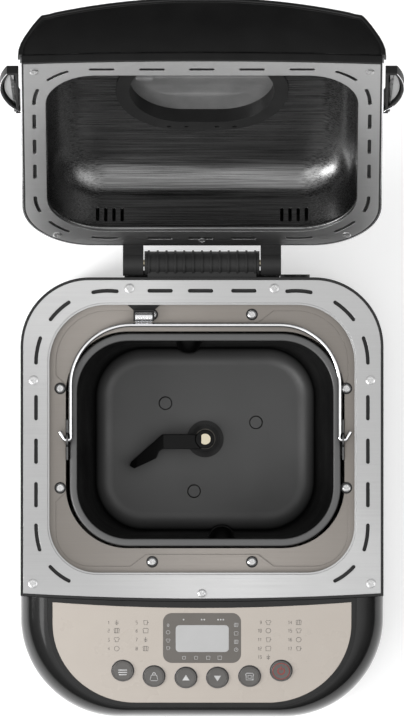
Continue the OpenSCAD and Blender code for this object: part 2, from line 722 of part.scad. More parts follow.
// Belt lying on both pulleys: an arc round each and a straight run along each side
module drive_belt() color("#1c1c1c") placed() at_pan() translate([0, 0, pulley_z + 2.3]) {
  r1 = pulley_d / 2 + belt_gap;
  r2 = pinion_d / 2 + belt_gap;
  m = [motor_x - pan_x, motor_dy];
  l = norm(m);
  lead = asin((r1 - r2) / l);
  run = l * cos(lead);
  rotate([0, 0, atan2(m[1], m[0])]) {
    rotate([0, 0, 90 - lead]) rotate_extrude(angle = 180 + 2 * lead) translate([r1, 0])
      square([belt_t, belt_w]);
    translate([l, 0, 0]) rotate([0, 0, -90 + lead]) rotate_extrude(angle = 180 - 2 * lead)
      translate([r2, 0]) square([belt_t, belt_w]);
    for (s = [0, 1]) mirror([0, s, 0]) rotate([0, 0, 90 - lead]) translate([r1, -run - 0.3, 0])
      cube([belt_t, run + 0.6, belt_w]);
  }
}

module at_motor() { at_pan() translate([motor_x - pan_x, motor_dy, 0]) children(); }
module small_pulley() color("#8f8f92") placed() at_motor() difference() {
  union() {
    translate([0, 0, pulley_z + 2]) cylinder(d = pinion_d, h = belt_w + 0.6);
    for (z = [0, pulley_h - 1.4]) translate([0, 0, pulley_z + z])
      cylinder(d = pinion_d + 6, h = 2 - (z > 0 ? 0.6 : 0));
  }
  translate([0, 0, pulley_z - 4]) cylinder(r = rotor_r + 0.01, h = 30);
}

module motor_shaft() color("#d0d0d2") placed()
  at_motor() translate([0, 0, pulley_z - 2]) cylinder(r = rotor_r, h = motor_z + 12 - pulley_z);

module motor() color("#6f7478") placed() at_motor() difference() {
  union() {
    translate([0, 0, motor_z + 6]) cylinder(d = motor_d, h = motor_h - 12);
    for (z = [0, motor_h - 8]) translate([0, 0, motor_z + z]) cylinder(d = motor_d - 12, h = 8);
    translate([0, 0, motor_z - 1 + 0.02]) cylinder(d = motor_d - 2, h = 3);
    translate([0, 0, motor_z - 6]) cylinder(d = 24, h = 8);
  }
  translate([0, 0, motor_z - 8]) cylinder(r = rotor_r + running, h = 8 + 16);
  for (a = [0:45:315]) rotate([0, 0, a]) translate([motor_d / 2 - 2, 0, motor_z + 16]) slot_block();
}
module slot_block() { translate([-2, -3, 0]) cube([6, 6, 24]); }

module motor_capacitor() color("#d9d7cf") placed()
  translate([52, front_y + 62.7, chassis_z + 17]) rotate([0, 90, 0]) {
  cylinder(r = 16, h = 44);
  for (s = [-1, 1]) translate([s * 5 - 0.4, -3, 44 - eps]) cube([0.8, 6, 7]);
}

module board(size, z) { translate([-size[0] / 2, -size[1] / 2, z]) cube([size[0], size[1], board_t]); }
module power_board() color("#2f6b3c") placed()
  translate([68, front_y + 64.5, chassis_z + power_board_h]) {
  board([64, 50], 0);
  translate([-24, -14, board_t - eps]) cube([18, 22, 16]);
  translate([4, -18, board_t - eps]) cube([15, 19, 15]);
  translate([10, 12, board_t - eps]) cylinder(r = 5, h = 14);
  for (x = [-28, 28], y = [-22, 22]) translate([x, y, -power_board_h])
    cylinder(r = 2.5, h = power_board_h + eps);
}

// ---- console ----

module panel_frame() color("#2b2b2c") placed() difference() {
  intersection() {
    on_console() translate([0, 0, -frame_t]) linear_extrude(frame_t) panel_outline(frame_w, 10);
    ahead_of_seam();
  }
  on_console() {
    translate([0, 0, -panel_t]) linear_extrude(10) panel_outline(0, 0);
    translate([0, 0, -frame_t - 3]) linear_extrude(frame_t + 5) panel_outline(-4, -1.5);
  }
}

module control_panel() color("#c7beb4") placed() on_console() difference() {
  translate([0, 0, -panel_t + 0.02]) linear_extrude(panel_t - 0.1) panel_outline(-0.15, -0.15);
  at_buttons() translate([0, 0, -10]) cylinder(d = button_d + 2 * button_gap, h = 20);
}

module lcd_module() color("#8f948c") placed() on_console() translate([0, lcd_y, 0]) {
  translate([-lcd_w / 2 - 5, -lcd_d / 2 - 5, -panel_t - 5]) cube([lcd_w + 10, lcd_d + 10, 4.9]);
  for (s = [-1, 1]) translate([s * (lcd_w / 2 + 2) - 1.5, -4, board_n])
    cube([3, 8, -board_n - panel_t - 5 + eps]);
}

// Circuit board with its posts and one key switch under each button
module control_board() color("#2c6140") placed() on_console() {
  translate([-82, up_slope(row_y - 12), board_n - board_t]) cube([164, 58, board_t]);
  for (s = [-1, 1], y = [-3, 40])
    translate([s * 78, up_slope(row_y) + y, board_n - eps]) cylinder(r = 3, h = -board_n - panel_t);
  at_buttons() translate([0, 0, board_n - eps]) {
    translate([-3, -3, 0]) cube([6, 6, key_h - 0.8]);
    cylinder(r = 1.7, h = key_h);
  }
}

// Round cap with a slightly domed top, a collar that keeps it in, and a stem down to its switch
module push_button(i) color("#6a6765") placed() at_button(i) {
  translate([0, 0, -panel_t - 0.6]) cylinder(d = button_d, h = panel_t + button_proud + 0.1);
  translate([0, 0, button_proud - 0.5 - eps]) cylinder(d1 = button_d, d2 = button_d - 1.6, h = 0.5);
  translate([0, 0, -panel_t - 1.2]) cylinder(d = button_d + 1.6, h = 1.2 - 0.05);
  stem = board_n + key_h + button_travel + 0.15;
  translate([0, 0, stem]) cylinder(r = 2, h = -panel_t - 0.5 - stem);
}
module button_menu() push_button(0);
module button_weight() push_button(1);
module button_up() push_button(2);
module button_down() push_button(3);
module button_crust() push_button(4);
module button_start() color("#8c2f2f") push_button(5);

// ---- pan ----

module pan_outside() {
  tub(pan_floor_w + 2 * pan_wall, pan_floor_d + 2 * pan_wall, 38, pan_w - 2 * pan_lip + 2 * pan_wall,
      pan_d - 2 * pan_lip + 2 * pan_wall, pan_rim_r - 4.3, 15, pan_floor_z, pan_rim_z - 0.5);
}
module pan_inside() {
  tub(pan_floor_w, pan_floor_d, 36.5, pan_w - 2 * pan_lip, pan_d - 2 * pan_lip, pan_rim_r - pan_lip, 14,
      pan_floor_z + pan_wall, pan_rim_z + 1);
}
module at_ribs() { for (s = [-1, 1]) translate([s * rib_x, -s * rib_y, pan_floor_z + 4]) children(); }

module pan_body() color("#3c3c3d") placed() at_pan() difference() {
  union() {
    difference() {
      pan_outside();
      pan_inside();
    }
    intersection() {
      pan_outside();
      at_ribs() cylinder(r = rib_r, h = pan_rim_z - pan_floor_z - 8);
    }
    translate([0, 0, pan_rim_z - 3]) linear_extrude(3) difference() {
      pan_plan(pan_w, pan_d, pan_rim_r);
      pan_plan(pan_w - 2 * pan_lip, pan_d - 2 * pan_lip, pan_rim_r - pan_lip);
    }
  }
  at_ribs() translate([0, 0, -1]) cylinder(r = rib_r - pan_wall, h = pan_rim_z - pan_floor_z - 8);
  translate([0, 0, pan_floor_z - 5]) cylinder(r = 9.2, h = 20);
  for (a = rivet_angle) rotate([0, 0, a]) translate([rivet_pcd / 2, 0, pan_floor_z - 5])
    cylinder(r = 2.6, h = 20);
}

module pan_base_ring() color("#a9a9a8") placed() at_pan() difference() {
  union() {
    translate([0, 0, ring_z]) cylinder(r = ring_r, h = pan_floor_z - ring_z - 1.2);
    translate([0, 0, pan_floor_z - 2]) cylinder(r = ring_r - 3, h = 2 - 0.02);
  }
  translate([0, 0, ring_z - 1]) cylinder(r = ring_r - 2, h = pan_floor_z - ring_z - 1);
  translate([0, 0, ring_z - 1]) cylinder(r = 14.6, h = 40);
  for (a = rivet_angle) rotate([0, 0, a]) translate([rivet_pcd / 2, 0, pan_floor_z - 5])
    cylinder(r = 2.6, h = 20);
  for (a = [0:60:300]) rotate([0, 0, a]) translate([ring_r, 0, ring_z + 13]) rotate([0, 90, 0])
    cylinder(r = 3.5, h = 10, center = true);
}

module pan_rivets() color("#4b4b4c") placed() at_pan() for (a = rivet_angle) rotate([0, 0, a])
  translate([rivet_pcd / 2, 0, pan_floor_z]) {
    translate([0, 0, pan_wall + 0.02]) cylinder(r1 = 5, r2 = 4.2, h = 1.2);
    translate([0, 0, -4.4]) cylinder(r = 2.5, h = 4.5 + pan_wall);
    translate([0, 0, -4.4]) cylinder(r = 4, h = 1.6);
  }

module pan_bush() color("#56544f") placed() at_pan() difference() {
  union() {
    translate([0, 0, pan_floor_z + pan_wall + 0.02]) cylinder(r = 13.4, h = 1);
    translate([0, 0, pan_floor_z + pan_wall + 1]) cylinder(r = 10.4, h = 1.6);
    translate([0, 0, dog_top + 0.6]) cylinder(r = 9, h = pan_floor_z + 3 - dog_top - 0.6);
    translate([0, 0, pan_floor_z - 3.2]) cylinder(r = 14, h = 3.2 - 2.05);
  }
  translate([0, 0, pan_floor_z - 20]) cylinder(r = shaft_r + running, h = 40);
  translate([0, 0, pan_floor_z + pan_wall + 1.6]) difference() {
    cylinder(r = 9.4, h = 4);
    cylinder(r = 7.6, h = 4);
  }
}

module pan_lugs() color("#3a3a3b") placed()
  at_pan() for (s = [-1, 1]) mirror([s > 0 ? 0 : 1, 0, 0]) difference() {
  union() {
    translate([lug_in, -14.5, pan_rim_z - 18]) cube([lug_t, 29, 18]);
    translate([lug_in, -14.5, pan_rim_z - 1]) cube([lug_t, 29, 3.2]);
    translate([lug_in, 0, bail_z]) rotate([0, 90, 0]) cylinder(r = 5, h = lug_t);
    translate([pan_w / 2 - 5.6, -12, pan_rim_z - 18]) cube([lug_in - pan_w / 2 + 6, 24, 8]);
  }
  translate([lug_in - 3, 0, bail_z]) rotate([0, 90, 0]) cylinder(r = wire_r + running, h = 12);
}

module bail() color("#d5d5d6") placed() translate([pan_x, pan_y, bail_z]) {
  b = bail_bend_r;
  c = wire_r + 0.1;
  hook = lug_in + lug_t + gap;
  // Each leg turns out through its lug, and ends in a short hook that leans back along the outside
  for (s = [-1, 1]) mirror([s > 0 ? 0 : 1, 0, 0]) {
    tube_run([bail_x + c, 0, 0], [hook, 0, 0], wire_r);
    bend([bail_x + c, c, 0], 180, c, wire_r);
    bend([hook, c, 0], -90, c, wire_r, hook_angle);
    translate([hook + c * sin(hook_angle), c - c * cos(hook_angle), 0]) rotate([0, 0, hook_angle])
      tube_run([-0.3, 0, 0], [hook_l, 0, 0], wire_r - 0.03);
    tube_run([bail_x, c, 0], [bail_x, bail_reach - b, 0], wire_r);
    bend([bail_x - b, bail_reach - b, 0], 0, b, wire_r);
  }
  tube_run([-bail_x + b, bail_reach, 0], [bail_x - b, bail_reach, 0], wire_r);
}

module pan_shaft() color("#c8b890") placed() at_pan() difference() {
  translate([0, 0, drive_top + 2.6]) cylinder(r = shaft_r, h = paddle_z + paddle_h + 1 - drive_top - 2.6);
  translate([-shaft_r - 5 + shaft_flat, -10, paddle_z - 0.1]) cube([5, 20, paddle_h + 5]);
}

module pan_coupling() color("#77787a") placed() at_pan() difference() {
  union() {
    translate([0, 0, drive_top + 2.6]) cylinder(r = 5.4, h = dog_top + gap - drive_top - 2.6);
    translate([-2.6, -13, drive_top + 2.6]) cube([5.2, 26, 5.6]);
  }
  translate([0, 0, drive_top]) cylinder(r = shaft_r + 0.01, h = 40);
}

module paddle() color("#161616") placed() at_pan() translate([0, 0, paddle_z]) difference() {
  union() {
    cylinder(r = 7, h = paddle_h);
    intersection() {
      linear_extrude(paddle_h)
        polygon([[-3, 3.5], [-31.3, 3.5], [-54.2, -16.7], [-55.2, -19.5], [-51.6, -21.5], [-35.6, -14],
                 [-33.6, -9.1], [-31, -7.3], [-3, -7.3]]);
      translate([0, 30, 0]) rotate([90, 0, 0]) linear_extrude(60)
        polygon([[0, 0], [0, paddle_h - 3], [-30, paddle_h - 2], [-50, 13], [-56, 9], [-56, 0]]);
    }
  }
  difference() {
    translate([0, 0, -1]) cylinder(r = shaft_r + running, h = paddle_h + 2);
    translate([-shaft_r - 5 + shaft_flat - running, -10, -2]) cube([5, 20, paddle_h + 4]);
  }
}

// ---- lid ----

module lid_shell() color("#b9b9b8") placed() on_lid() difference() {
  lid_dome(0);
  intersection() {
    translate([0, 0, -0.4]) lid_dome(lid_wall);
    translate([-half_w, fascia_back_y + lid_wall, lid_z]) cube([body_w, body_d, 200]);
  }
  translate([0, window_y, lid_z + 40])
    oval(window_w + 2 * window_ring + 0.6, window_d + 2 * window_ring + 0.6, 100);
}

module lid_frame() color("#191919") placed() on_lid() difference() {
  translate([0, 0, lid_z]) linear_extrude(lid_frame_h - 0.02)
    deck_plan(lid_half_w, deck_front_y - lip, trim_t + 0.1);
  translate([0, 0, lid_z - 1]) linear_extrude(plate_t + 1)
    deck_plan(lid_half_w, deck_front_y, trim_t + 1.1);
  translate([0, 0, lid_z - 1]) linear_extrude(30) opening_plan(-2.5);
  at_points(lid_screw_at, lid_z - 1) cylinder(d = screw_hole, h = 20);
}

module lid_trim() color("#d5d5d4") placed() on_lid() difference() {
  translate([0, 0, lid_z + 0.3]) linear_extrude(lid_frame_h - 0.4)
    deck_plan(lid_half_w, deck_front_y - lip + 0.5);
  translate([0, 0, lid_z - 1]) linear_extrude(40) deck_plan(lid_half_w, deck_front_y - 12, trim_t);
}

module lid_fascia() color("#202021") placed() on_lid() intersection() {
  translate([0, fascia_back_y - gap, lid_z + lid_frame_h]) rotate([90, 0, 0]) linear_extrude(20)
    lid_profile(lid_front_h - lid_frame_h, half_w, 0);
  linear_extrude(400) bowed_plan(lid_front_y, 12);
}

module lid_rim_plate() color("#c3c2c0") placed() on_lid() difference() {
  translate([0, 0, lid_z]) linear_extrude(plate_t - 0.02)
    deck_plan(lid_half_w, deck_front_y + 0.15, trim_t + 1.25);
  translate([0, 0, lid_z - 1]) linear_extrude(30) opening_plan(0);
  air_slots(lid_z - 3, true);
  at_points(lid_screw_at, lid_z - 1) cylinder(d = screw_hole, h = 20);
}

module lid_screws() color("#bdbdbb") placed()
  on_lid() at_points(lid_screw_at, lid_z) mirror([0, 0, 1]) screw(6.2, 0.8, screw_shank, 5);

// Inside of the drawn steel liner, from the rim up to its roof, moved in by i
module liner_space(i) {
  z1 = lid_z + liner_h - i;
  fillet = 26 - i;
  hull() for (s = [-1, 1], f = [0, 1]) {
    r = (f == 0 ? opening_front_r : opening_rear_r) - i;
    y = f == 0 ? opening_y - opening_d / 2 + i + r : opening_y + opening_d / 2 - i - r;
    translate([s * (opening_w / 2 - i - r), y, lid_z + plate_t + (i > 0 ? -0.5 : 0)])
      cylinder(r = r, h = 20, $fn = 40);
    translate([s * (opening_w / 2 - i - r), y, z1 - fillet]) rotate_extrude($fn = 40)
      polygon([for (a = [0:10:90]) [r - fillet + fillet * cos(a), fillet * sin(a)], [0, fillet], [0, 0]]);
  }
}

module lid_liner() color("#8b8988") placed() on_lid() difference() {
  union() {
    liner_space(0);
    translate([0, 0, lid_z + plate_t]) linear_extrude(1) opening_plan(-1.8);
  }
  liner_space(sheet_t);
  translate([0, window_y, lid_z + 20]) oval(window_w + 4, window_d + 4, 60);
  for (s = [-1, 1], n = [0:3])
    translate([s * (57.6 + n * 5.9), opening_y + opening_d / 2 - 8, lid_z + 14])
    rotate([-90, 0, 0]) rotate([0, 0, 90]) slot(12, 2.4, 20);
}

module window_frame() color("#1a1a1a") placed() on_lid() difference() {
  union() {
    translate([0, window_y, window_z - 1.4])
      oval(window_w + 2 * window_ring, window_d + 2 * window_ring, 1.38);
    translate([0, window_y, window_z - 1.4])
      oval(window_w + 3.6, window_d + 3.6, lid_top_h - liner_h + 3);
    translate([0, window_y, lid_z + lid_top_h - 6])
      oval(window_w + 2 * window_ring, window_d + 2 * window_ring, 7.5);
  }
  translate([0, window_y, window_z - 5]) oval(window_w, window_d, 60);
  translate([0, window_y, glass_z]) oval(window_w + 2.2, window_d + 2.2, 4.1);
  for (x = [-23.5, -10.9, 10.9, 23.5]) translate([x, window_y + window_d / 2 + 6, window_z - 3])
    slot(3.5, 2.2, 4);
}

module window_glass() color("#6f7376") placed()
  on_lid() translate([0, window_y, glass_z + 0.02]) oval(window_w + 2, window_d + 2, 4);

module grip_plan(i) {
  difference() {
    intersection() {
      circle(grip_r - i);
      translate([0, -18.8 + i]) square([grip_r, 47.4 - 2 * i]);
    }
    translate([-1, -40]) square([lid_half_w - half_w + 22.8 + 1.65 + i, 80]);
  }
}
module lid_grips() color("#262626") placed() on_lid() for (s = [-1, 1]) mirror([s > 0 ? 0 : 1, 0, 0])
  translate([half_w - 22.8, grip_y, lid_z + 0.6]) difference() {
    linear_extrude(7.5) grip_plan(0);
    translate([0, 0, -1]) linear_extrude(6) grip_plan(2.4);
  }

// ---- hinge ----

module hinge_arms() color("#222222") placed()
  on_lid() for (s = [-1, 1]) mirror([s > 0 ? 0 : 1, 0, 0]) translate([arm_x0, 0, 0]) difference() {
  union() {
    translate([0, hinge_y, hinge_z]) rotate([0, 90, 0]) cylinder(r = knuckle_r, h = arm_x1 - arm_x0);
    translate([0, rear_y + 0.1, hinge_z + 1])
      cube([arm_x1 - arm_x0, hinge_y - rear_y + 7, lid_frame_h + 22]);
  }
  translate([-1, hinge_y, hinge_z]) rotate([0, 90, 0]) cylinder(r = pin_r + running, h = 30);
}

module hinge_base() color("#2b2b2b") placed() difference() {
  union() {
    for (s = [-1, 1]) translate([s * 40.4 - 1.1, hinge_y, hinge_z]) rotate([0, 90, 0])
      cylinder(r = knuckle_r - 0.6, h = 2.2);
    translate([-39.3, hinge_y, hinge_z]) rotate([0, 90, 0]) cylinder(r = knuckle_r - 0.8, h = 78.6);
    for (n = [0:12]) translate([-39.2 + n * 6.4, hinge_y, hinge_z]) rotate([0, 90, 0])
      cylinder(r = knuckle_r, h = 1.6);
    translate([-39.2, rear_y + 0.02, hinge_z - 34]) cube([78.4, 7, 39.5]);
    translate([-56, rear_y + 0.02, hinge_z - 34]) cube([112, 5, 22]);
  }
  translate([-60, hinge_y, hinge_z]) rotate([0, 90, 0]) cylinder(r = pin_r + 0.01, h = 120);
}

module hinge_pin() color("#c4c4c6") placed()
  translate([-arm_x1 + 1, hinge_y, hinge_z]) rotate([0, 90, 0]) cylinder(r = pin_r, h = 2 * arm_x1 - 2);

base_tray();
feet();
body_shell();
front_bumper();
top_bezel();
rim_plate();
rim_screws();
chamber_flange();
flange_screws();
oven_liner();
heating_element();
element_clips();
temperature_probe();
probe_bracket();
pan_seat();
chassis_plate();
bearing_housing();
drive_bushes();
drive_shaft();
drive_coupling();
large_pulley();
drive_belt();
small_pulley();
motor();
motor_shaft();
motor_capacitor();
power_board();
control_board();
lcd_module();
panel_frame();
control_panel();
button_menu();
button_weight();
button_up();
button_down();
button_crust();
button_start();
cord_gland();
pan_body();
pan_base_ring();
pan_rivets();
pan_bush();
pan_lugs();
pan_shaft();
pan_coupling();
bail();
paddle();
lid_shell();
lid_frame();
lid_trim();
lid_fascia();
lid_rim_plate();
lid_screws();
lid_liner();
window_frame();
window_glass();
lid_grips();
hinge_base();
hinge_pin();
hinge_arms();
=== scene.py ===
import json
import math

import bmesh
import bpy
from mathutils import Matrix, Vector


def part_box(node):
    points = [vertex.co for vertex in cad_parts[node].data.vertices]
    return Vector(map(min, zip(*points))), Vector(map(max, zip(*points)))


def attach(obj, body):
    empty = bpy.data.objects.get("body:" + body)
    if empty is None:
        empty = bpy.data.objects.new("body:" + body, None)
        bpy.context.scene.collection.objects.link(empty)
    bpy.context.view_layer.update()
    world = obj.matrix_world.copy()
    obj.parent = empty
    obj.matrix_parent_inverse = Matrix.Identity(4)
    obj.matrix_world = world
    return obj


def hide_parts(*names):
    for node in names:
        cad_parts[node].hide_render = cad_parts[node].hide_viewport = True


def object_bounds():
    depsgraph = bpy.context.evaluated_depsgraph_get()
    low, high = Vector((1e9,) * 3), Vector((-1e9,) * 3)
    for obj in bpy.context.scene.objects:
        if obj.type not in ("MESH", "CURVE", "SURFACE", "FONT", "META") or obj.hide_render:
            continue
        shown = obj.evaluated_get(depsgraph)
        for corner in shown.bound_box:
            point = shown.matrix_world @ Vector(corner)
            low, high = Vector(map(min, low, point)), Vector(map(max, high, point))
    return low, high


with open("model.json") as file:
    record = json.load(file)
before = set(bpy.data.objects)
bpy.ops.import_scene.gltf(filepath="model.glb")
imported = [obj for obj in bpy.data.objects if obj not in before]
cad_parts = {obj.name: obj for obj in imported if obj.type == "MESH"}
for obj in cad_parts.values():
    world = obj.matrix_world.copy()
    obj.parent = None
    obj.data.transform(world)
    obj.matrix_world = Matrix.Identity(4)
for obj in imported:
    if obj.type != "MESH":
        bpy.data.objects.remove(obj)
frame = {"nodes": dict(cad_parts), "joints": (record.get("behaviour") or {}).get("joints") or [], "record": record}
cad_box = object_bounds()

MM = 0.001
nodes = frame["nodes"]
joints = {j["name"]: j for j in frame["joints"]}


# ---- materials ----

class Finish:
    """One procedural material: a Principled shader and the few nodes that drive it, in object coordinates."""

    def __init__(self, name, rough=0.4, metal=0.0, **sockets):
        self.material = bpy.data.materials.new(name)
        self.material.use_nodes = True
        self.tree = self.material.node_tree
        self.shader = self.tree.nodes["Principled BSDF"]
        self.shader.inputs["Roughness"].default_value = rough
        self.shader.inputs["Metallic"].default_value = metal
        # A keyword such as Coat_Weight names the socket "Coat Weight"
        for key, value in sockets.items():
            self.shader.inputs[key.replace("_", " ").title().replace("Ior", "IOR")].default_value = value
        self.place = self.tree.nodes.new("ShaderNodeTexCoord").outputs["Object"]

    def node(self, kind, **inputs):
        node = self.tree.nodes.new(kind)
        for key, value in inputs.items():
            self.feed(node.inputs[key], value)
        return node

    def feed(self, socket, value):
        if isinstance(value, bpy.types.NodeSocket):
            self.tree.links.new(value, socket)
        else:
            socket.default_value = value

    def stretched(self, scale):
        """Object coordinates in metres, times a scale along each axis."""
        return self.node("ShaderNodeMapping", Vector=self.place, Scale=scale).outputs["Vector"]

    def noise(self, scale, detail=3.0, roughness=0.5, where=None, distortion=0.0):
        n = self.node("ShaderNodeTexNoise", Vector=where or self.place, Scale=scale, Detail=detail,
                      Roughness=roughness, Distortion=distortion)
        return n.outputs["Fac"]

    def ramp(self, fac, stops):
        r = self.node("ShaderNodeValToRGB", Fac=fac)
        points = r.color_ramp.elements
        while len(points) < len(stops):
            points.new(0.5)
        for point, (at, colour) in zip(points, stops):
            point.position = at
            point.color = (*colour, 1.0) if len(colour) == 3 else colour
        return r.outputs["Color"]

    def span(self, fac, low, high, from_low=0.3, from_high=0.7):
        """Remaps a noise value to a range."""
        m = self.node("ShaderNodeMapRange", Value=fac)
        m.inputs["From Min"].default_value = from_low
        m.inputs["From Max"].default_value = from_high
        m.inputs["To Min"].default_value = low
        m.inputs["To Max"].default_value = high
        return m.outputs["Result"]

    def math(self, kind, a, b):
        m = self.tree.nodes.new("ShaderNodeMath")
        m.operation = kind
        self.feed(m.inputs[0], a)
        self.feed(m.inputs[1], b)
        return m.outputs[0]

    def bump(self, height, distance, strength=1.0, edge=0.0):
        b = self.node("ShaderNodeBump", Height=height, Distance=distance, Strength=strength)
        if edge:
            bevel = self.node("ShaderNodeBevel", Radius=edge)
            self.feed(b.inputs["Normal"], bevel.outputs["Normal"])
        self.feed(self.shader.inputs["Normal"], b.outputs["Normal"])

    def colour(self, value):
        self.feed(self.shader.inputs["Base Color"], value)

    def rough(self, value):
        self.feed(self.shader.inputs["Roughness"], value)


def grey(v, warm=0.0):
    """A grey, turned a little towards orange by warm."""
    return (v + warm, v, v - warm)


def moulded(name, value, rough, grain=3500.0, depth=0.00003, edge=0.0004, warm=0.0, tint=(1, 1, 1), uneven=0.14,
            **sockets):
    """Moulded plastic: fine grain, faint mottling, and rubbed places that shine a little more."""
    f = Finish(name, **sockets)
    mottle = f.noise(60.0, 4.0)
    tones = [tuple(t * c for t, c in zip(tint, grey(value * k, warm))) for k in (1 - uneven, 1 + uneven)]
    f.colour(f.ramp(mottle, [(0.3, tones[0]), (0.7, tones[1])]))
    f.rough(f.span(f.noise(22.0, 5.0, 0.6), rough - 0.06, rough + 0.07))
    f.bump(f.noise(grain, 2.0), depth, 0.5, edge)
    return f.material


def brushed(name, dark, light, rough, along=(12.0, 2600.0, 2600.0), edge=0.0005, anisotropic=0.55, warm=0.0,
            streak=0.5):
    """Brushed sheet metal: fine scratches along one axis over a slow change of tone."""
    f = Finish(name, metal=1.0)
    f.shader.inputs["Anisotropic"].default_value = anisotropic
    lines = f.noise(1.0, 6.0, 0.65, f.stretched(along))
    slow = f.noise(9.0, 3.0)
    mixed = f.math("ADD", f.math("MULTIPLY", lines, streak), f.math("MULTIPLY", slow, 1.0 - streak))
    f.colour(f.ramp(mixed, [(0.35, grey(dark, warm)), (0.65, grey(light, warm))]))
    f.rough(f.span(lines, rough - 0.07, rough + 0.08))
    f.bump(lines, 0.00001, 0.35, edge)
    return f.material


def polished(name, colour, rough, metal=1.0, edge=0.0003):
    """Plated or ground metal with faint smears."""
    f = Finish(name, metal=metal)
    f.colour(f.ramp(f.noise(90.0, 3.0), [(0.3, tuple(c * 0.92 for c in colour)), (0.7, colour)]))
    f.rough(f.span(f.noise(35.0, 4.0), rough * 0.7, rough * 1.4))
    f.bump(f.noise(900.0, 2.0), 0.000006, 0.3, edge)
    return f.material


def sintered_hub():
    """Dark bush round the shaft, with a warm grey face near its middle."""
    f = Finish("bronze", metal=0.9)
    low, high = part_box("pan_bush")
    painted_light_where_level = f.stretched((1.0, 1.0, 0.0))
    away = f.node("ShaderNodeVectorMath")
    away.operation = "DISTANCE"
    f.feed(away.inputs[0], painted_light_where_level)
    f.feed(away.inputs[1], ((low.x + high.x) / 2, (low.y + high.y) / 2, 0.0))
    ring = f.span(away.outputs["Value"], 0.0, 1.0, 0.0068, 0.0078)
    worn = f.math("MULTIPLY", f.noise(300.0), 0.25)
    f.colour(f.ramp(f.math("ADD", ring, worn), [(0.1, (0.25, 0.235, 0.205)), (0.9, (0.02, 0.02, 0.02))]))
    f.rough(f.span(f.noise(120.0, 4.0), 0.32, 0.5))
    f.bump(f.noise(2000.0, 2.0), 0.00001, 0.4, 0.0003)
    return f.material


def pan_coating():
    """Non-stick coating with painted light: lighter and more specular where it lies flat, and painted shade making
    the steep walls near black.
    """
    f = Finish("pan_coating")
    split = f.node("ShaderNodeSeparateXYZ", Vector=f.tree.nodes.new("ShaderNodeTexCoord").outputs["Normal"])
    # Painted light: level faces get the lighter grey and steep walls are painted near black as shade; a little
    # speckle lies on top
    painted_light_where_level = f.span(f.math("ABSOLUTE", split.outputs["Z"], 0.0), 0.0, 1.0, 0.35, 0.95)
    painted_light_and_speckle = f.math("ADD", painted_light_where_level, f.math("MULTIPLY", f.noise(900.0, 2.0), 0.12))
    f.colour(f.ramp(painted_light_and_speckle, [(0.1, grey(0.0015)), (0.95, grey(0.066))]))
    f.rough(f.span(f.noise(22.0, 5.0, 0.6), 0.36, 0.48))
    f.feed(f.shader.inputs["Specular IOR Level"], f.span(painted_light_where_level, 0.03, 0.5, 0.0, 1.0))
    f.bump(f.noise(2200.0, 2.0), 0.00004, 0.5, 0.0004)
    return f.material


finishes = {
    "black_plastic": moulded("black_plastic", 0.016, 0.42, Specular_Ior_Level=0.2),
    "gloss_black": moulded("gloss_black", 0.009, 0.14, grain=400.0, depth=0.000006, Specular_Ior_Level=0.35,
                           Coat_Weight=0.25),
    "rubber_feet": moulded("rubber_feet", 0.02, 0.75, grain=1500.0, depth=0.00006),
    "body_steel": brushed("body_steel", 0.42, 0.52, 0.34, along=(2600.0, 2600.0, 10.0)),
    "rim_steel": brushed("rim_steel", 0.355, 0.425, 0.38),
    "oven_steel": brushed("oven_steel", 0.168, 0.208, 0.42, warm=0.016),
    "screw_steel": polished("screw_steel", (0.52, 0.52, 0.52), 0.28),
    "element": polished("element", (0.13, 0.12, 0.11), 0.5, metal=0.8),
    "chrome": polished("chrome", (0.75, 0.75, 0.76), 0.08),
    "cast_metal": polished("cast_metal", (0.16, 0.16, 0.17), 0.5),
    "bronze": sintered_hub(),
    "shaft_steel": polished("shaft_steel", (0.55, 0.50, 0.38), 0.22),
    "belt_rubber": moulded("belt_rubber", 0.012, 0.7, grain=1200.0, depth=0.00008),
    "motor_steel": moulded("motor_steel", 0.16, 0.4, grain=500.0, Metallic=0.3),
    "capacitor": moulded("capacitor", 0.62, 0.3, grain=500.0, warm=0.02),
    "circuit_board": moulded("circuit_board", 0.06, 0.4, grain=900.0, tint=(0.5, 1.6, 0.8)),
    "panel": moulded("panel", 0.345, 0.3, grain=900.0, depth=0.000003, warm=0.036, uneven=0.012,
                     Specular_Ior_Level=0.3),
    "lcd": moulded("lcd", 0.36, 0.3, grain=400.0, depth=0.000003, uneven=0.03),
    "button_grey": moulded("button_grey", 0.076, 0.42, grain=2500.0, warm=0.004, uneven=0.06),
    "pan_coating": pan_coating(),
    "pan_metal": polished("pan_metal", (0.5, 0.5, 0.5), 0.45),
    "liner_steel": brushed("liner_steel", 0.04, 0.24, 0.27, along=(14.0, 1500.0, 1500.0), streak=0.85),
    "display_surround": moulded("display_surround", 0.09, 0.35, grain=300.0, depth=0.000003, warm=0.009,
                                uneven=0.03),
    "paddle_black": moulded("paddle_black", 0.004, 0.36, grain=1800.0, depth=0.00004, Specular_Ior_Level=0.12),
    "grip_pad": moulded("grip_pad", 0.33, 0.45, grain=900.0, uneven=0.04),
    "print_dark": moulded("print_dark", 0.05, 0.6, grain=600.0, depth=0.000002),
    "print_light": moulded("print_light", 0.45, 0.6, grain=600.0, depth=0.000002),
    "print_red": moulded("print_red", 0.08, 0.5, grain=600.0, depth=0.000002, tint=(3.4, 0.35, 0.3)),
    "window_glass": moulded("window_glass", 0.13, 0.08, grain=200.0, depth=0.000002, Coat_Weight=1.0),
}

for part in frame["record"]["subparts"]:
    mesh = nodes[part["node"]].data
    mesh.materials.clear()
    mesh.materials.append(finishes[part["material_slot"]])

# ---- mesh helpers ----

def placed_closed(node):
    """Corners of a lid node's box as if the lid were shut."""
    return box_in(node, LID.inverted())


def box_in(node, matrix):
    """Corners of a node's box once a matrix has moved it."""
    points = [matrix @ v.co for v in nodes[node].data.vertices]
    return (Vector(map(min, *points)), Vector(map(max, *points)))


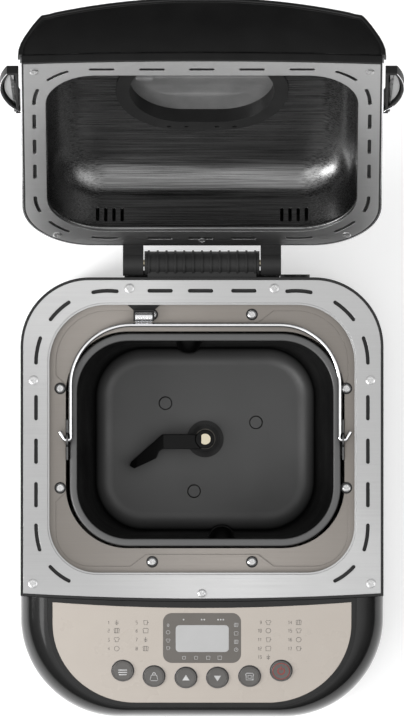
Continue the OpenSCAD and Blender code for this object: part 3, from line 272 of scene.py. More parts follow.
def turn_about(point, angle):
    """Turn about the line along X through a point."""
    return Matrix.Translation(point) @ Matrix.Rotation(angle, 4, "X") @ Matrix.Translation(-Vector(point))


# Lid pieces are drawn shut and swung open; console pieces are drawn flat and tilted
hinge = joints["lid_hinge"]
LID = turn_about(hinge["pos_m"], -math.radians(hinge["range_deg"][1]))
press = joints["menu_press"]["axis"]
slope_angle = math.atan2(press[1], -press[2])
tilt = Matrix.Rotation(slope_angle, 4, "X")
panel_low, panel_high = box_in("control_panel", tilt.inverted())
CONSOLE = tilt @ Matrix.Translation((0, panel_high.y, panel_high.z))
# The panel's rear edge is bowed, so its middle lies in front of its corners
panel_crown = 1400 * MM
panel_bow = panel_crown - math.sqrt(panel_crown ** 2 - panel_high.x ** 2)
PRINT = CONSOLE @ Matrix.Translation((0, -panel_bow, 0))


def piece(name, verts, faces, slot, body, place=None, finish=None, sharp=32, hides=()):
    """A smooth-shaded mesh that rides on a body, in the finish of a material slot."""
    mesh = bpy.data.meshes.new(name)
    mesh.from_pydata([tuple(v) for v in verts], [], faces)
    if place:
        mesh.transform(place)
    work = bmesh.new()
    work.from_mesh(mesh)
    bmesh.ops.remove_doubles(work, verts=work.verts, dist=1e-7)
    bmesh.ops.dissolve_degenerate(work, edges=work.edges, dist=1e-8)
    bmesh.ops.recalc_face_normals(work, faces=work.faces)
    work.to_mesh(mesh)
    work.free()
    mesh.shade_smooth()
    mesh.set_sharp_from_angle(angle=math.radians(sharp))
    mesh.materials.append(finish or finishes[slot])
    obj = bpy.data.objects.new(name, mesh)
    bpy.context.scene.collection.objects.link(obj)
    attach(obj, body)
    if hides:
        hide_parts(*hides)
    return obj


def loft(rings, closed_ends=False, round_trip=False):
    """Skins closed rings of equal length. round_trip joins the last ring to the first."""
    n = len(rings[0])
    verts = [p for ring in rings for p in ring]
    pairs = [(i, i + 1) for i in range(len(rings) - 1)]
    if round_trip:
        pairs.append((len(rings) - 1, 0))
    faces = [(a * n + k, a * n + (k + 1) % n, b * n + (k + 1) % n, b * n + k) for a, b in pairs for k in range(n)]
    if closed_ends:
        faces += [tuple(range(n))[::-1], tuple((len(rings) - 1) * n + k for k in range(n))]
    return verts, faces


def outline(half, y0, y1, front_r, rear_r, corner=14, side=40):
    """Rectangle with round corners as a ring of points, anticlockwise from the front right corner."""
    arcs = [((half - front_r, y0 + front_r), front_r, -90), ((half - rear_r, y1 - rear_r), rear_r, 0),
            ((-half + rear_r, y1 - rear_r), rear_r, 90), ((-half + front_r, y0 + front_r), front_r, 180)]
    points = []
    for k, ((cx, cy), r, start) in enumerate(arcs):
        arc = [(cx + r * math.cos(math.radians(start + 90 * i / corner)),
                cy + r * math.sin(math.radians(start + 90 * i / corner))) for i in range(corner + 1)]
        (nx, ny), nr, nstart = arcs[(k + 1) % 4]
        nxt = (nx + nr * math.cos(math.radians(nstart)), ny + nr * math.sin(math.radians(nstart)))
        points += arc
        points += [(arc[-1][0] + (nxt[0] - arc[-1][0]) * i / side, arc[-1][1] + (nxt[1] - arc[-1][1]) * i / side)
                   for i in range(1, side)]
    return points


def at_height(points, z):
    """A flat ring of (x, y) points as vectors at one height."""
    return [Vector((x, y, z)) for x, y in points]


def stadium_radius(angle, width, depth):
    """Distance from the middle of a slot-shaped oval to its edge, at an angle."""
    r = depth / 2
    a = width / 2 - r
    c, s = abs(math.cos(angle)), abs(math.sin(angle))
    if s > 1e-9 and r / s * c <= a:
        return r / s
    return a * c + math.sqrt(max(r * r - (a * s) ** 2, 0.0))


def oval_ring(points, centre, width, depth):
    """The points of a ring, each moved straight to or from the centre onto an oval."""
    ring = []
    for x, y in points:
        angle = math.atan2(y - centre[1], x - centre[0])
        r = stadium_radius(angle, width, depth)
        ring.append((centre[0] + r * math.cos(angle), centre[1] + r * math.sin(angle)))
    return ring


def turned(profile, steps, at=Vector()):
    """Rings about an upright line through a point, one for each (radius, height) pair."""
    return [[Vector((at.x + r * math.cos(2 * math.pi * k / steps), at.y + r * math.sin(2 * math.pi * k / steps),
                     at.z + z)) for k in range(steps)] for r, z in profile]


def tube(path, radius, sides=10):
    """Round wire along a path of points, with closed ends."""
    rings = []
    up = Vector((0, 0, 1))
    for k, p in enumerate(path):
        a = path[max(k - 1, 0)]
        b = path[min(k + 1, len(path) - 1)]
        t = (Vector(b) - Vector(a)).normalized()
        u = t.cross(up)
        u = u.normalized() if u.length > 1e-6 else Vector((1, 0, 0))
        v = u.cross(t)
        rings.append([Vector(p) + radius * (math.cos(2 * math.pi * i / sides) * u
                                            + math.sin(2 * math.pi * i / sides) * v) for i in range(sides)])
    return loft(rings, closed_ends=True)


def merged(parts):
    """Several (verts, faces) pairs as one."""
    verts, faces = [], []
    for v, f in parts:
        base = len(verts)
        verts += list(v)
        faces += [tuple(base + i for i in face) for face in f]
    return verts, faces


def plate(ring, z0, z1, chamfer=0.0):
    """Flat plate with an outline, and a small chamfer round its top."""
    if not chamfer:
        return loft([at_height(ring, z0), at_height(ring, z1)], closed_ends=True)
    inner = inset(ring, chamfer)
    return loft([at_height(ring, z0), at_height(ring, z1 - chamfer), at_height(inner, z1)], closed_ends=True)


def inset(ring, by):
    """An anticlockwise ring of (x, y) moved inwards by a distance."""
    n = len(ring)
    moved = []
    for k in range(n):
        p, a, b = Vector(ring[k]), Vector(ring[k - 1]), Vector(ring[(k + 1) % n])
        d1, d2 = (p - a), (b - p)
        d1 = d1.normalized() if d1.length > 1e-9 else d2.normalized()
        d2 = d2.normalized() if d2.length > 1e-9 else d1
        n1, n2 = Vector((-d1.y, d1.x)), Vector((-d2.y, d2.x))
        m = n1 + n2
        m = m.normalized() if m.length > 1e-6 else n1
        moved.append(tuple(p + m * by / max(m.dot(n1), 0.4)))
    return moved


def stroke(points, width, closed=False):
    """Flat line of even width along (x, y) points: its two edges as lists."""
    n = len(points)
    left, right = [], []
    for k in range(n):
        a = Vector(points[(k - 1) % n] if closed else points[max(k - 1, 0)])
        b = Vector(points[(k + 1) % n] if closed else points[min(k + 1, n - 1)])
        d = (b - a).normalized()
        off = Vector((-d.y, d.x)) * width / 2
        left.append(Vector(points[k]) + off)
        right.append(Vector(points[k]) - off)
    return left, right


def ink(points, width, z0, z1, closed=False):
    """A printed line as a very thin raised strip."""
    left, right = stroke(points, width, closed)
    n = len(points)
    verts = [(*p, z) for z in (z0, z1) for side in (left, right) for p in side]
    faces = []
    for k in range(n if closed else n - 1):
        j = (k + 1) % n
        l0, r0, l1, r1 = k, n + k, 2 * n + k, 3 * n + k
        faces += [(l1, r1, n * 3 + j, n * 2 + j), (l0, j, n + j, r0), (l0, l1, 2 * n + j, j),
                  (r0, n + j, 3 * n + j, r1)]
    if not closed:
        faces += [(0, n, 3 * n, 2 * n), (n - 1, 3 * n - 1, 4 * n - 1, 2 * n - 1)]
    return verts, faces


def circle(cx, cy, r, n=24, start=0, sweep=360):
    """Points round a circle or along an arc, angles in degrees; only an arc gets its last point."""
    last = n if sweep == 360 else n + 1
    return [(cx + r * math.cos(math.radians(start + sweep * k / n)),
             cy + r * math.sin(math.radians(start + sweep * k / n))) for k in range(last)]


# ---- pan ----

def tub_rings(floor, mouth, fillet, z0, z1, levels=14, turn=10):
    """Rings of a tub from its floor up to its mouth. floor and mouth are (width, depth, corner radius)."""
    rings = []
    for k in range(turn + 1):
        a = math.pi / 2 * k / turn
        i = fillet * (1 - math.sin(a))
        w, d, r = floor
        rings.append((w / 2 - i, d / 2 - i, max(r - i, 2 * MM), z0 + fillet * (1 - math.cos(a))))
    for k in range(1, levels + 1):
        t = k / levels
        w, d, r = (f + (m - f) * t for f, m in zip(floor, mouth))
        rings.append((w / 2, d / 2, r, z0 + fillet + (z1 - z0 - fillet) * t))
    return rings


def bread_pan():
    """Pressed tub with round corners, two kneading ribs and a rolled rim."""
    low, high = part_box("pan_body")
    mid = (low + high) / 2
    width, depth = high.x - low.x, high.y - low.y
    lip, wall, rim_r, roll = 5.8 * MM, 1.5 * MM, 43 * MM, 1.5 * MM
    taper_w, taper_d = 35 * MM, 20 * MM
    floor_z = low.z
    rib_x, rib_r, rib_y, rib_top = 12 * MM, 9.6 * MM, depth / 2 - lip + 1.2 * MM, high.z - 4 * MM
    hole_r = 9.3 * MM  # clears the shaft's bush

    def ribbed(points, z, radius, side):
        """Pushes the wall in round the two kneading ribs."""
        fade = min(1.0, max(0.0, (rib_top - z) / (5 * MM)))
        r = radius * math.sqrt(max(1 - (1 - fade) ** 2, 0.0)) if fade < 1 else radius
        moved = []
        for x, y in points:
            s = 1 if y > 0 else -1
            dx = abs(x + s * rib_x)
            if dx < r:
                y = s * min(abs(y), rib_y - math.sqrt(r * r - dx * dx) + side)
            moved.append((x, y))
        return moved

    def ring(w, d, r, z, rib=0.0, side=0.0):
        points = outline(w, -d, d, r, r, corner=16, side=70)
        if rib:
            points = ribbed(points, z, rib, side)
        return [Vector((mid.x + x, mid.y + y, z)) for x, y in points]

    def round_hole(ring_points, z):
        return [Vector((mid.x + hole_r * math.cos(a), mid.y + hole_r * math.sin(a), z))
                for a in (math.atan2(p.y - mid.y, p.x - mid.x) for p in ring_points)]

    inner_mouth = (width - 2 * lip, depth - 2 * lip, rim_r - lip)
    inner = tub_rings((width - taper_w, depth - taper_d, 36.5 * MM), inner_mouth, 14 * MM, floor_z + wall,
                      high.z - roll)
    outer = tub_rings((width - taper_w + 2 * wall, depth - taper_d + 2 * wall, 38 * MM),
                      tuple(v + 2 * wall if k < 2 else v + wall for k, v in enumerate(inner_mouth)), 15 * MM,
                      floor_z, high.z - 3 * MM)
    rings = [ring(w, d, r, z, rib_r - wall if z > floor_z + 5 * MM else 0.0, wall) for w, d, r, z in outer]
    rings.insert(0, round_hole(rings[0], floor_z))
    # Rolled rim: out under the lip, round its edge, and over into the wall
    for k in range(7):
        a = math.pi * k / 6
        e = roll * (1 - math.sin(a))
        rings.append(ring(width / 2 - e, depth / 2 - e, rim_r - e, high.z - roll - roll * math.cos(a)))
    for k in range(7):
        a = math.pi / 2 * k / 6
        e = lip - roll * (1 - math.sin(a))
        rings.append(ring(width / 2 - e, depth / 2 - e, rim_r - e, high.z - roll * (1 - math.cos(a))))
    down = [ring(w, d, r, z, rib_r) for w, d, r, z in inner[::-1]]
    rings += down
    rings.append(round_hole(down[-1], floor_z + wall))
    verts, faces = loft(rings, round_trip=True)
    return piece("bread_pan", verts, faces, "pan_coating", "pan", hides=["pan_body"], sharp=50)


# ---- lid ----

def subtract(obj, cutters):
    """Cuts closed meshes out of a piece, and deletes them."""
    for cutter in cutters:
        cut = obj.modifiers.new("cut", "BOOLEAN")
        cut.operation = "DIFFERENCE"
        cut.solver = "EXACT"
        cut.object = cutter
    bpy.context.view_layer.update()
    done = bpy.data.meshes.new_from_object(obj.evaluated_get(bpy.context.evaluated_depsgraph_get()))
    obj.modifiers.clear()
    obj.data = done
    for cutter in cutters:
        bpy.data.objects.remove(cutter)
    obj.data.set_sharp_from_angle(angle=math.radians(32))


def loose(verts, faces, place):
    """A mesh to cut with, which isn't a piece."""
    mesh = bpy.data.meshes.new("cutter")
    mesh.from_pydata([tuple(v) for v in verts], [], faces)
    mesh.transform(place)
    obj = bpy.data.objects.new("cutter", mesh)
    bpy.context.scene.collection.objects.link(obj)
    return obj


def slot_ring(cx, cy, length, width, n=8):
    """Ring of a slot that runs along its second axis."""
    r = width / 2
    h = (length - width) / 2
    return circle(cx, cy + h, r, n, 0, 180) + circle(cx, cy - h, r, n, 180, 180)


def flange_washers():
    """Black dished washers under the flange screws."""
    low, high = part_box("chamber_flange")
    above, apart = 0.2 * MM, 15 * MM
    heads = []
    for v in nodes["flange_screws"].data.vertices:
        if v.co.z > high.z + above:
            near = [points for points in heads if (points[0] - v.co).length < apart]
            if near:
                near[0].append(v.co)
            else:
                heads.append([v.co])
    profile = [(3.0 * MM, 0.0), (3.0 * MM, 0.5 * MM), (3.5 * MM, 0.4 * MM), (3.9 * MM, 0.55 * MM),
               (4.2 * MM, 0.4 * MM), (4.2 * MM, 0.0)]
    parts = []
    for points in heads:
        middle = sum(points, Vector()) / len(points)
        parts.append(loft(turned(profile, 48, Vector((middle.x, middle.y, high.z))), round_trip=True))
    verts, faces = merged(parts)
    piece("flange_washers", verts, faces, "black_plastic", "housing")


def lid_liner():
    """Deep-drawn liner: flange, wall, large fillet and roof, with the window's hole and two rows of vents."""
    low, high = placed_closed("lid_liner")
    window_low, window_high = placed_closed("window_frame")
    flange, fillet, sheet = 1.8 * MM, 26 * MM, 1 * MM
    front_r, rear_r = 36 * MM, 43 * MM
    half, y0, y1 = high.x - flange, low.y + flange, high.y - flange
    window = (0.0, (window_low.y + window_high.y) / 2)
    oval = (window_high.x - window_low.x - 18 * MM, window_high.y - window_low.y - 18 * MM)

    def ring(i, z, out=0.0):
        points = outline(half - i + out, y0 + i - out, y1 - i + out, front_r - i + out, rear_r - i + out,
                         corner=24, side=40)
        return [Vector((x, y, z)) for x, y in points]

    def side(offset, bend, top):
        """Rings of one face of the sheet, from the rim up to the roof."""
        rings = [ring(offset, low.z + 3 * MM + (top - bend - low.z - 3 * MM) * k / 5) for k in range(6)]
        for k in range(1, 15):
            a = math.pi / 2 * k / 14
            rings.append(ring(offset + bend * (1 - math.cos(a)), top - bend + bend * math.sin(a)))
        return rings

    outer = side(0.0, fillet, high.z)
    inner = side(sheet, fillet - sheet, high.z - sheet)
    painted_light_where_level = [(p.x, p.y) for p in inner[-1]]
    hole = oval_ring(painted_light_where_level, window, *oval)
    rings = [ring(0.0, low.z + sheet, flange), ring(0.0, low.z + sheet, 0.4 * MM)] + outer
    rings += [at_height(hole, high.z), at_height(hole, high.z - sheet)] + inner[::-1]
    # Rolled lip where the wall turns out over the rim plate
    for k in range(1, 5):
        a = math.pi / 2 * k / 4
        rings.append(ring(sheet * (1 - k / 4), low.z + 1.6 * MM * (1 - math.sin(a))))
    rings.append(ring(0.0, low.z, flange))
    verts, faces = loft(rings, round_trip=True)
    liner = piece("drawn_liner", verts, faces, "liner_steel", "lid", place=LID, hides=["lid_liner"], sharp=40)
    vent_x, vent_step, vent_z = 57.6 * MM, 5.9 * MM, low.z + 12 * MM
    upright = Matrix.Rotation(-math.pi / 2, 4, "X")
    cutters = []
    for s in (-1, 1):
        for n in range(4):
            verts, faces = plate(slot_ring(s * (vent_x + n * vent_step), 0.0, 12 * MM, 2.4 * MM), 0.0, 12 * MM)
            at = Matrix.Translation((0, y1 - 8 * MM, vent_z))
            cutters.append(loose(verts, faces, LID @ at @ upright))
    subtract(liner, cutters)
    return liner


def front_height():
    """Height of the lid's front edge above its rim."""
    return placed_closed("lid_fascia")[1].z - placed_closed("lid_frame")[0].z


def lid_section(half, height):
    """Right half of the lid's cross section, from the rim up and in to the middle, as (x, z) points."""
    k = height / front_height()
    flank = [(0.0, 0.0), (0.4, 6), (2, 12), (4.2, 17.5), (7, 23), (10.2, 29), (13.6, 34.4), (15.6, 37.2),
             (17.0, 38.7), (22, 39.6)]
    right = [(half - dx * MM, z * MM * k) for dx, z in flank]
    crown_r = 440 * MM
    top_x = half - 26 * MM
    for n in range(13):
        x = top_x * (1 - n / 12)
        right.append((x, height - k * (crown_r - math.sqrt(crown_r ** 2 - x * x))))
    return right


def mirrored(right):
    """Whole arch from its right half, closed along the bottom."""
    return right + [(-x, z) for x, z in right[-2::-1]]


def lid_shell():
    """Steel cover: one arch after another, rising from the front and rounded off at the rear."""
    low, high = placed_closed("lid_shell")
    front = placed_closed("lid_fascia")[1].z - low.z
    rear_r, steps = 50 * MM, 12
    half, height = high.x, high.z - low.z
    stations = []
    rise_d = 150 * MM  # the roof climbs from the front edge over this depth
    for k in range(11):
        y = low.y + k / 10 * (high.y - rear_r - low.y)
        t = min(1.0, (y - low.y) / rise_d)
        stations.append((y, height - (height - front) * (1 - t) ** 3, half))
    for k in range(1, steps + 1):
        a = math.radians(89 * k / steps)
        stations.append((high.y - rear_r + rear_r * math.sin(a), height - 30 * MM * (1 - math.cos(a)),
                         half - rear_r + rear_r * math.cos(a)))

    def arch(y, h, w, thin=0.0):
        right = lid_section(w - thin, h - thin)
        return [Vector((x, y - (thin if y > high.y - rear_r else 0.0), low.z + z)) for x, z in mirrored(right)]

    outer = [arch(*s) for s in stations]
    inner = [arch(*s, thin=2.5 * MM) for s in stations]
    verts, faces = merged([loft(outer), loft(inner)])
    n, m, count = len(outer[0]), len(stations), len(outer) * len(outer[0])
    # The loft closes each arch along the bottom; those faces go, and the two skins join at their edges
    open_faces = []
    for f in faces:
        ks = sorted({i % n for i in f})
        if ks == [0, n - 1]:
            continue
        open_faces.append(f)
    for i in range(m - 1):
        for k in (0, n - 1):
            a, b = i * n + k, (i + 1) * n + k
            open_faces.append((a, b, b + count, a + count))
    for i in (0, m - 1):
        for k in range(n - 1):
            a, b = i * n + k, i * n + k + 1
            open_faces.append((a, b, b + count, a + count))
    # Front and rear walls
    open_faces += [tuple(range(n)), tuple((m - 1) * n + k for k in range(n))]
    shell = piece("lid_cover", verts, open_faces, "body_steel", "lid", place=LID, hides=["lid_shell"], sharp=38)
    window_low, window_high = placed_closed("window_frame")
    mid_y = (window_low.y + window_high.y) / 2
    play = 0.6 * MM
    w = window_high.x - window_low.x + play
    d = window_high.y - window_low.y + play
    ring = oval_ring(circle(0.0, mid_y, w / 2, 96), (0.0, mid_y), w, d)
    cut_v, cut_f = plate(ring, high.z - 30 * MM, high.z + 30 * MM)
    subtract(shell, [loose(cut_v, cut_f, LID)])
    return shell


def bow(x, radius):
    """How far back a bowed front edge lies at x."""
    return radius - math.sqrt(radius * radius - x * x)


def lid_fascia():
    """Bowed front wall of the lid with a fine groove round its edge."""
    low, high = placed_closed("lid_fascia")
    crown = 2200 * MM
    height = high.z - low.z
    arch = mirrored(lid_section(high.x, height))
    side = 24
    base = [(-high.x + 2 * high.x * k / side, 0.0) for k in range(1, side)]
    ring = [(x, z) for x, z in arch] + base
    deep = 6.2 * MM
    base_from = len(arch) - 1

    def face(i, depth):
        points = inset(ring, i) if i else ring
        points = [(x, 0.0 if k == 0 or k >= base_from else z) for k, (x, z) in enumerate(points)]
        return [Vector((x, low.y + bow(x, crown) + depth, low.z + z)) for x, z in points]

    rings = [face(0.0, deep), face(0.0, 1.0 * MM), face(0.35 * MM, 0.3 * MM), face(1.0 * MM, 0.0),
             face(3.0 * MM, 0.0), face(3.3 * MM, 0.15 * MM), face(3.5 * MM, 1.0 * MM), face(4.1 * MM, 1.0 * MM),
             face(4.3 * MM, 0.45 * MM), face(4.8 * MM, 0.3 * MM)]
    verts, faces = loft(rings)
    n = len(ring)
    last = (len(rings) - 1) * n
    faces.append(tuple(last + k for k in range(n)))
    faces.append(tuple(range(n))[::-1])
    return piece("fascia_panel", verts, faces, "gloss_black", "lid", place=LID, hides=["lid_fascia"], sharp=28)


def side_grips():
    """Two finger tabs, hollow below, with a pale pad inside and a bright line round the outside."""
    low, high = placed_closed("lid_grips")
    radius, root_x = 36 * MM, 130.6 * MM
    mid_y = high.y - 28.6 * MM
    start = math.degrees(math.asin((low.y - mid_y) / radius))
    end = math.degrees(math.asin((high.y - mid_y) / radius))
    inner_x = radius - (high.x - root_x)
    for s in (-1, 1):
        centre = s * (high.x - radius)
        arc = circle(0, 0, radius, 28, start, end - start)
        ring = [(inner_x, low.y - mid_y)] + arc + [(inner_x, high.y - mid_y)]
        ring = [(s * x + centre, y + mid_y) for x, y in ring]
        if s < 0:
            ring = ring[::-1]
        pad = inset(ring, 3.4 * MM)
        wall = inset(ring, 2.2 * MM)
        rings = [at_height(inset(ring, 0.5 * MM), high.z), at_height(ring, high.z - 0.5 * MM),
                 at_height(ring, low.z + 0.5 * MM), at_height(inset(ring, 0.5 * MM), low.z),
                 at_height(inset(ring, 1.8 * MM), low.z), at_height(wall, low.z + 0.4 * MM),
                 at_height(wall, low.z + 4.8 * MM)]
        verts, faces = loft(rings, closed_ends=True)
        side = "left" if s < 0 else "right"
        piece("grip_" + side, verts, faces, "black_plastic", "lid", place=LID,
              hides=["lid_grips"] if s < 0 else [])
        verts, faces = plate(pad, low.z + 2.6 * MM, low.z + 4.8 * MM)
        piece("grip_pad_" + side, verts, faces, "rim_steel", "lid", place=LID, finish=finishes["grip_pad"])
        verts, faces = tube([(x, y, low.z + 0.2 * MM) for x, y in inset(ring, 0.4 * MM)[1:-1]], 0.35 * MM, 8)
        piece("grip_line_" + side, verts, faces, "chrome", "lid", place=LID)


# ---- console ----

def bumper():
    """Bullnose shell round the front of the console."""
    low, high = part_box("front_bumper")
    frame_low, frame_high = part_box("panel_frame")
    rise = math.tan(slope_angle)
    drop, wall, crown = 20 * MM, 2.2 * MM, 2200 * MM
    outer_r, inner_r = 72 * MM, 63.2 * MM
    in_half, in_front = frame_high.x + 0.15 * MM, frame_low.y - 0.15 * MM
    panel_y = CONSOLE.translation.y
    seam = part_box("top_bezel")[0].y - 0.3 * MM
    face_z = CONSOLE.translation.z

    def surface_z(y):
        return face_z + rise * (y - panel_y)

    def path(f, z, thin):
        half = high.x + f * (in_half - high.x) - thin
        front = low.y + f * (in_front - low.y) + thin
        r = outer_r + f * (inner_r - outer_r) - thin
        back = seam + bow(half, crown)
        points = []
        for k in range(13):
            points.append((-half, back + (front + r - back) * k / 12))
        points += circle(-half + r, front + r, r, 28, 180, 90)[1:]
        for k in range(1, 40):
            points.append((-half + r + (2 * half - 2 * r) * k / 40, front))
        points += circle(half - r, front + r, r, 28, 270, 90)
        for k in range(1, 13):
            points.append((half, front + r + (back - front - r) * k / 12))
        return [Vector((x, y, surface_z(y) + z - thin)) for x, y in points]

    steps = 14
    turns = [math.pi / 2 * k / steps for k in range(steps + 1)]
    outer, inner = ([path(1 - math.cos(a), -drop * (1 - math.sin(a)), thin) for a in turns] for thin in (0.0, wall))
    inner[-1] = [p.copy() for p in outer[-1]]
    for p in inner[-1]:
        p.z -= wall
    inner[0] = [Vector((p.x, p.y, q.z)) for p, q in zip(inner[0], outer[0])]
    sections = outer + inner[::-1]
    n = len(outer[0])
    verts = [p for line in sections for p in line]
    faces = [(a * n + k, a * n + k + 1, ((a + 1) % len(sections)) * n + k + 1, ((a + 1) % len(sections)) * n + k)
             for a in range(len(sections)) for k in range(n - 1)]
    for k in (0, n - 1):
        for a in range(steps):
            b = len(sections) - 1 - a
            faces.append((a * n + k, (a + 1) * n + k, (b - 1) * n + k, b * n + k))
    return piece("bumper", verts, faces, "gloss_black", "housing", hides=["front_bumper"], sharp=40)


def softened(node, name, body, voxel, passes, finish):
    """A cast or moulded look for a CAD shape: the same form with its edges rounded off."""
    obj = bpy.data.objects.new(name, nodes[node].data.copy())
    bpy.context.scene.collection.objects.link(obj)
    remesh = obj.modifiers.new("remesh", "REMESH")
    remesh.mode = "VOXEL"
    remesh.voxel_size = voxel
    smooth = obj.modifiers.new("smooth", "SMOOTH")
    smooth.factor = 0.5
    smooth.iterations = passes
    bpy.context.view_layer.update()
    done = bpy.data.meshes.new_from_object(obj.evaluated_get(bpy.context.evaluated_depsgraph_get()))
    obj.modifiers.clear()
    obj.data = done
    done.shade_smooth()
    done.materials.clear()
    done.materials.append(finish)
    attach(obj, body)
    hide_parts(node)
    return obj


# Pictograms as lines in a square of side 2 about the origin; a closed line repeats its first point
LOAF = [[(-0.8, -0.8), (0.8, -0.8), (0.8, 0.2), (0.95, 0.5), (0.7, 0.85), (-0.7, 0.85), (-0.95, 0.5), (-0.8, 0.2),
         (-0.8, -0.8)]]
SLICES = LOAF + [[(-0.3, -0.8), (-0.3, 0.85)], [(0.3, -0.8), (0.3, 0.85)]]
RING = [circle(0, 0, 0.85, 16) + [(0.85, 0)]]
CUP = [[(-0.7, 0.7), (-0.5, -0.8), (0.5, -0.8), (0.7, 0.7), (-0.7, 0.7)], [(0.62, 0.3), (1.0, 0.1), (0.56, -0.3)]]
WHEAT = [[(0, -0.9), (0, 0.9)], [(-0.6, 0.3), (0, -0.1), (0.6, 0.3)], [(-0.6, -0.3), (0, -0.7), (0.6, -0.3)]]
HAT = [[(-0.5, -0.8), (-0.5, -0.1), (-0.95, 0.2), (-0.6, 0.8), (0, 0.6), (0.6, 0.8), (0.95, 0.2), (0.5, -0.1),
        (0.5, -0.8), (-0.5, -0.8)]]
CLOCK = RING + [[(0, 0.5), (0, 0), (0.4, 0)]]
# Digits as lines in a box 1 wide and 2 high
DIGITS = {
    "0": [(0, 0), (1, 0), (1, 2), (0, 2), (0, 0)],
    "1": [(0.2, 1.6), (0.6, 2), (0.6, 0)],
    "2": [(0, 2), (1, 2), (1, 1), (0, 1), (0, 0), (1, 0)],
    "3": [(0, 2), (1, 2), (0.5, 1.1), (1, 0.6), (1, 0), (0, 0)],
    "4": [(0.8, 0), (0.8, 2), (0, 0.7), (1.1, 0.7)],
    "5": [(1, 2), (0, 2), (0, 1.1), (1, 1.1), (1, 0), (0, 0)],
    "6": [(1, 2), (0, 1.4), (0, 0), (1, 0), (1, 1), (0, 1)],
    "7": [(0, 2), (1, 2), (0.4, 0)],
    "8": [(0, 0), (1, 0), (1, 2), (0, 2), (0, 0), (0, 1), (1, 1)],
    "9": [(0, 0), (1, 0.6), (1, 2), (0, 2), (0, 1), (1, 1)],
}


def drawing(lines, cx, cy, size, width, z0, z1):
    """A pictogram of a given size about a point."""
    return [ink([(cx + x * size / 2, cy + y * size / 2) for x, y in line], width, z0, z1) for line in lines]


def number(value, right, cy, height, width, z0, z1):
    """A number with its right edge at right."""
    parts = []
    step = height * 0.62
    for k, digit in enumerate(reversed(str(value))):
        x0 = right - (k + 1) * step
        parts.append(ink([(x0 + x * height * 0.42, cy + (y / 2 - 0.5) * height) for x, y in DIGITS[digit]],
                         width, z0, z1))
    return parts


def rounded(width, depth, radius, cx=0.0, cy=0.0):
    """Rectangle with round corners about a point."""
    return [(cx + x, cy + y) for x, y in outline(width / 2, -depth / 2, depth / 2, radius, radius, 8, 8)]


def console_print():
    """Display and its surround, the numbered list of programmes, and the display's marks."""
    film = 0.02 * MM
    verts, faces = plate(rounded(56.4 * MM, 37.9 * MM, 6.5 * MM, 0.0, -22.95 * MM), -0.2 * MM, film)
    piece("display_surround", verts, faces, "panel", "housing", place=PRINT, finish=finishes["display_surround"])
    verts, faces = plate(rounded(38.4 * MM, 20.4 * MM, 2.8 * MM, 0.2 * MM, -23.4 * MM), -0.1 * MM, 2 * film)
    piece("display_face", verts, faces, "lcd", "housing", place=PRINT, finish=finishes["lcd"])
    low, high = 0.8 * film, 3.0 * film
    line = 0.28 * MM
    prints = []
    rows = [-11.2, -17.4, -24.2, -31.0, -37.4]
    # Right edge of the numbers, middle of the icons, first number and count, in millimetres
    columns = [(-66.4, -61.6, 1, 4), (-46.2, -40.7, 5, 4), (43.4, 47.9, 9, 5), (65.2, 69.8, 14, 4)]
    symbols = [LOAF, WHEAT, SLICES, HAT, RING, CUP]
    for right, icon, first, count in columns:
        for n in range(count):
            y = rows[n] * MM
            prints += number(first + n, right * MM, y, 2.4 * MM, line, low, high)
            prints += drawing(symbols[(first + n) % 6], icon * MM, y, 4.2 * MM, line, low, high)
    verts, faces = merged(prints)
    piece("program_list", verts, faces, "black_plastic", "housing", place=PRINT, finish=finishes["print_dark"])
    pale = []
    for n, x in enumerate((-13.0, -4.3, 4.5, 12.8)):
        pale += drawing(LOAF, x * MM, -38.0 * MM, (2.6 + 0.2 * n) * MM, line, low, high)
    for symbol, y in zip((WHEAT, RING, HAT, CUP), (-13.1, -18.6, -24.8, -30.6)):
        pale += drawing(symbol, -24.5 * MM, y * MM, 3.2 * MM, line, low, high)
    for symbol, y in zip((SLICES, LOAF, SLICES, CLOCK), (-13.1, -19.5, -25.9, -31.8)):
        pale += drawing(symbol, 24.7 * MM, y * MM, 3.2 * MM, line, low, high)
    for n, x in enumerate((-13.3, 0.7, 13.5)):
        for dot in range(n + 1):
            pale.append(plate(circle((x + (dot - n / 2) * 1.9) * MM, -9.0 * MM, 0.6 * MM, 12), low, high))
    verts, faces = merged(pale)
    piece("display_symbols", verts, faces, "lcd", "housing", place=PRINT, finish=finishes["print_light"])


def bar(cx, cy, w, h):
    """Rectangle about a point."""
    return [(cx - w / 2, cy - h / 2), (cx + w / 2, cy - h / 2), (cx + w / 2, cy + h / 2), (cx - w / 2, cy + h / 2)]


def button_mark(name, z):
    """Filled or line mark on a cap, about its middle, in millimetres."""
    low, high, width = z - 0.03, z + 0.03, 0.55
    if name == "menu":
        return [plate(bar(0, -0.9 + k * 1.75, 6.4, 0.75), low, high) for k in (-1, 0, 1)]
    if name == "weight":
        body = [(-2.9, -3.0), (2.9, -3.0), (1.9, 1.2), (-1.9, 1.2)]
        return [ink(body, width, low, high, closed=True), ink(circle(0, 2.1, 1.0, 14), width, low, high, closed=True)]
    if name == "up":
        return [plate([(-2.6, -1.8), (2.6, -1.8), (0, 2.5)], low, high)]
    if name == "down":
        return [plate([(-2.6, 1.8), (0, -2.5), (2.6, 1.8)], low, high)]
    if name == "crust":
        slice_line = [(x * 3.1, y * 3.1) for x, y in LOAF[0][:-1]]
        return [ink(slice_line, width, low, high, closed=True),
                ink([(-1.2, -1.2), (1.2, -1.2), (1.2, 1.0), (-1.2, 1.0)], width, low, high, closed=True),
                plate(bar(2.4, -2.2, 1.2, 1.2), low, high)]
    return [ink(circle(0, 0, 2.4, 24, 115, 310), 0.8, low, high), plate(bar(0, 2.2, 0.8, 2.8), low, high)]


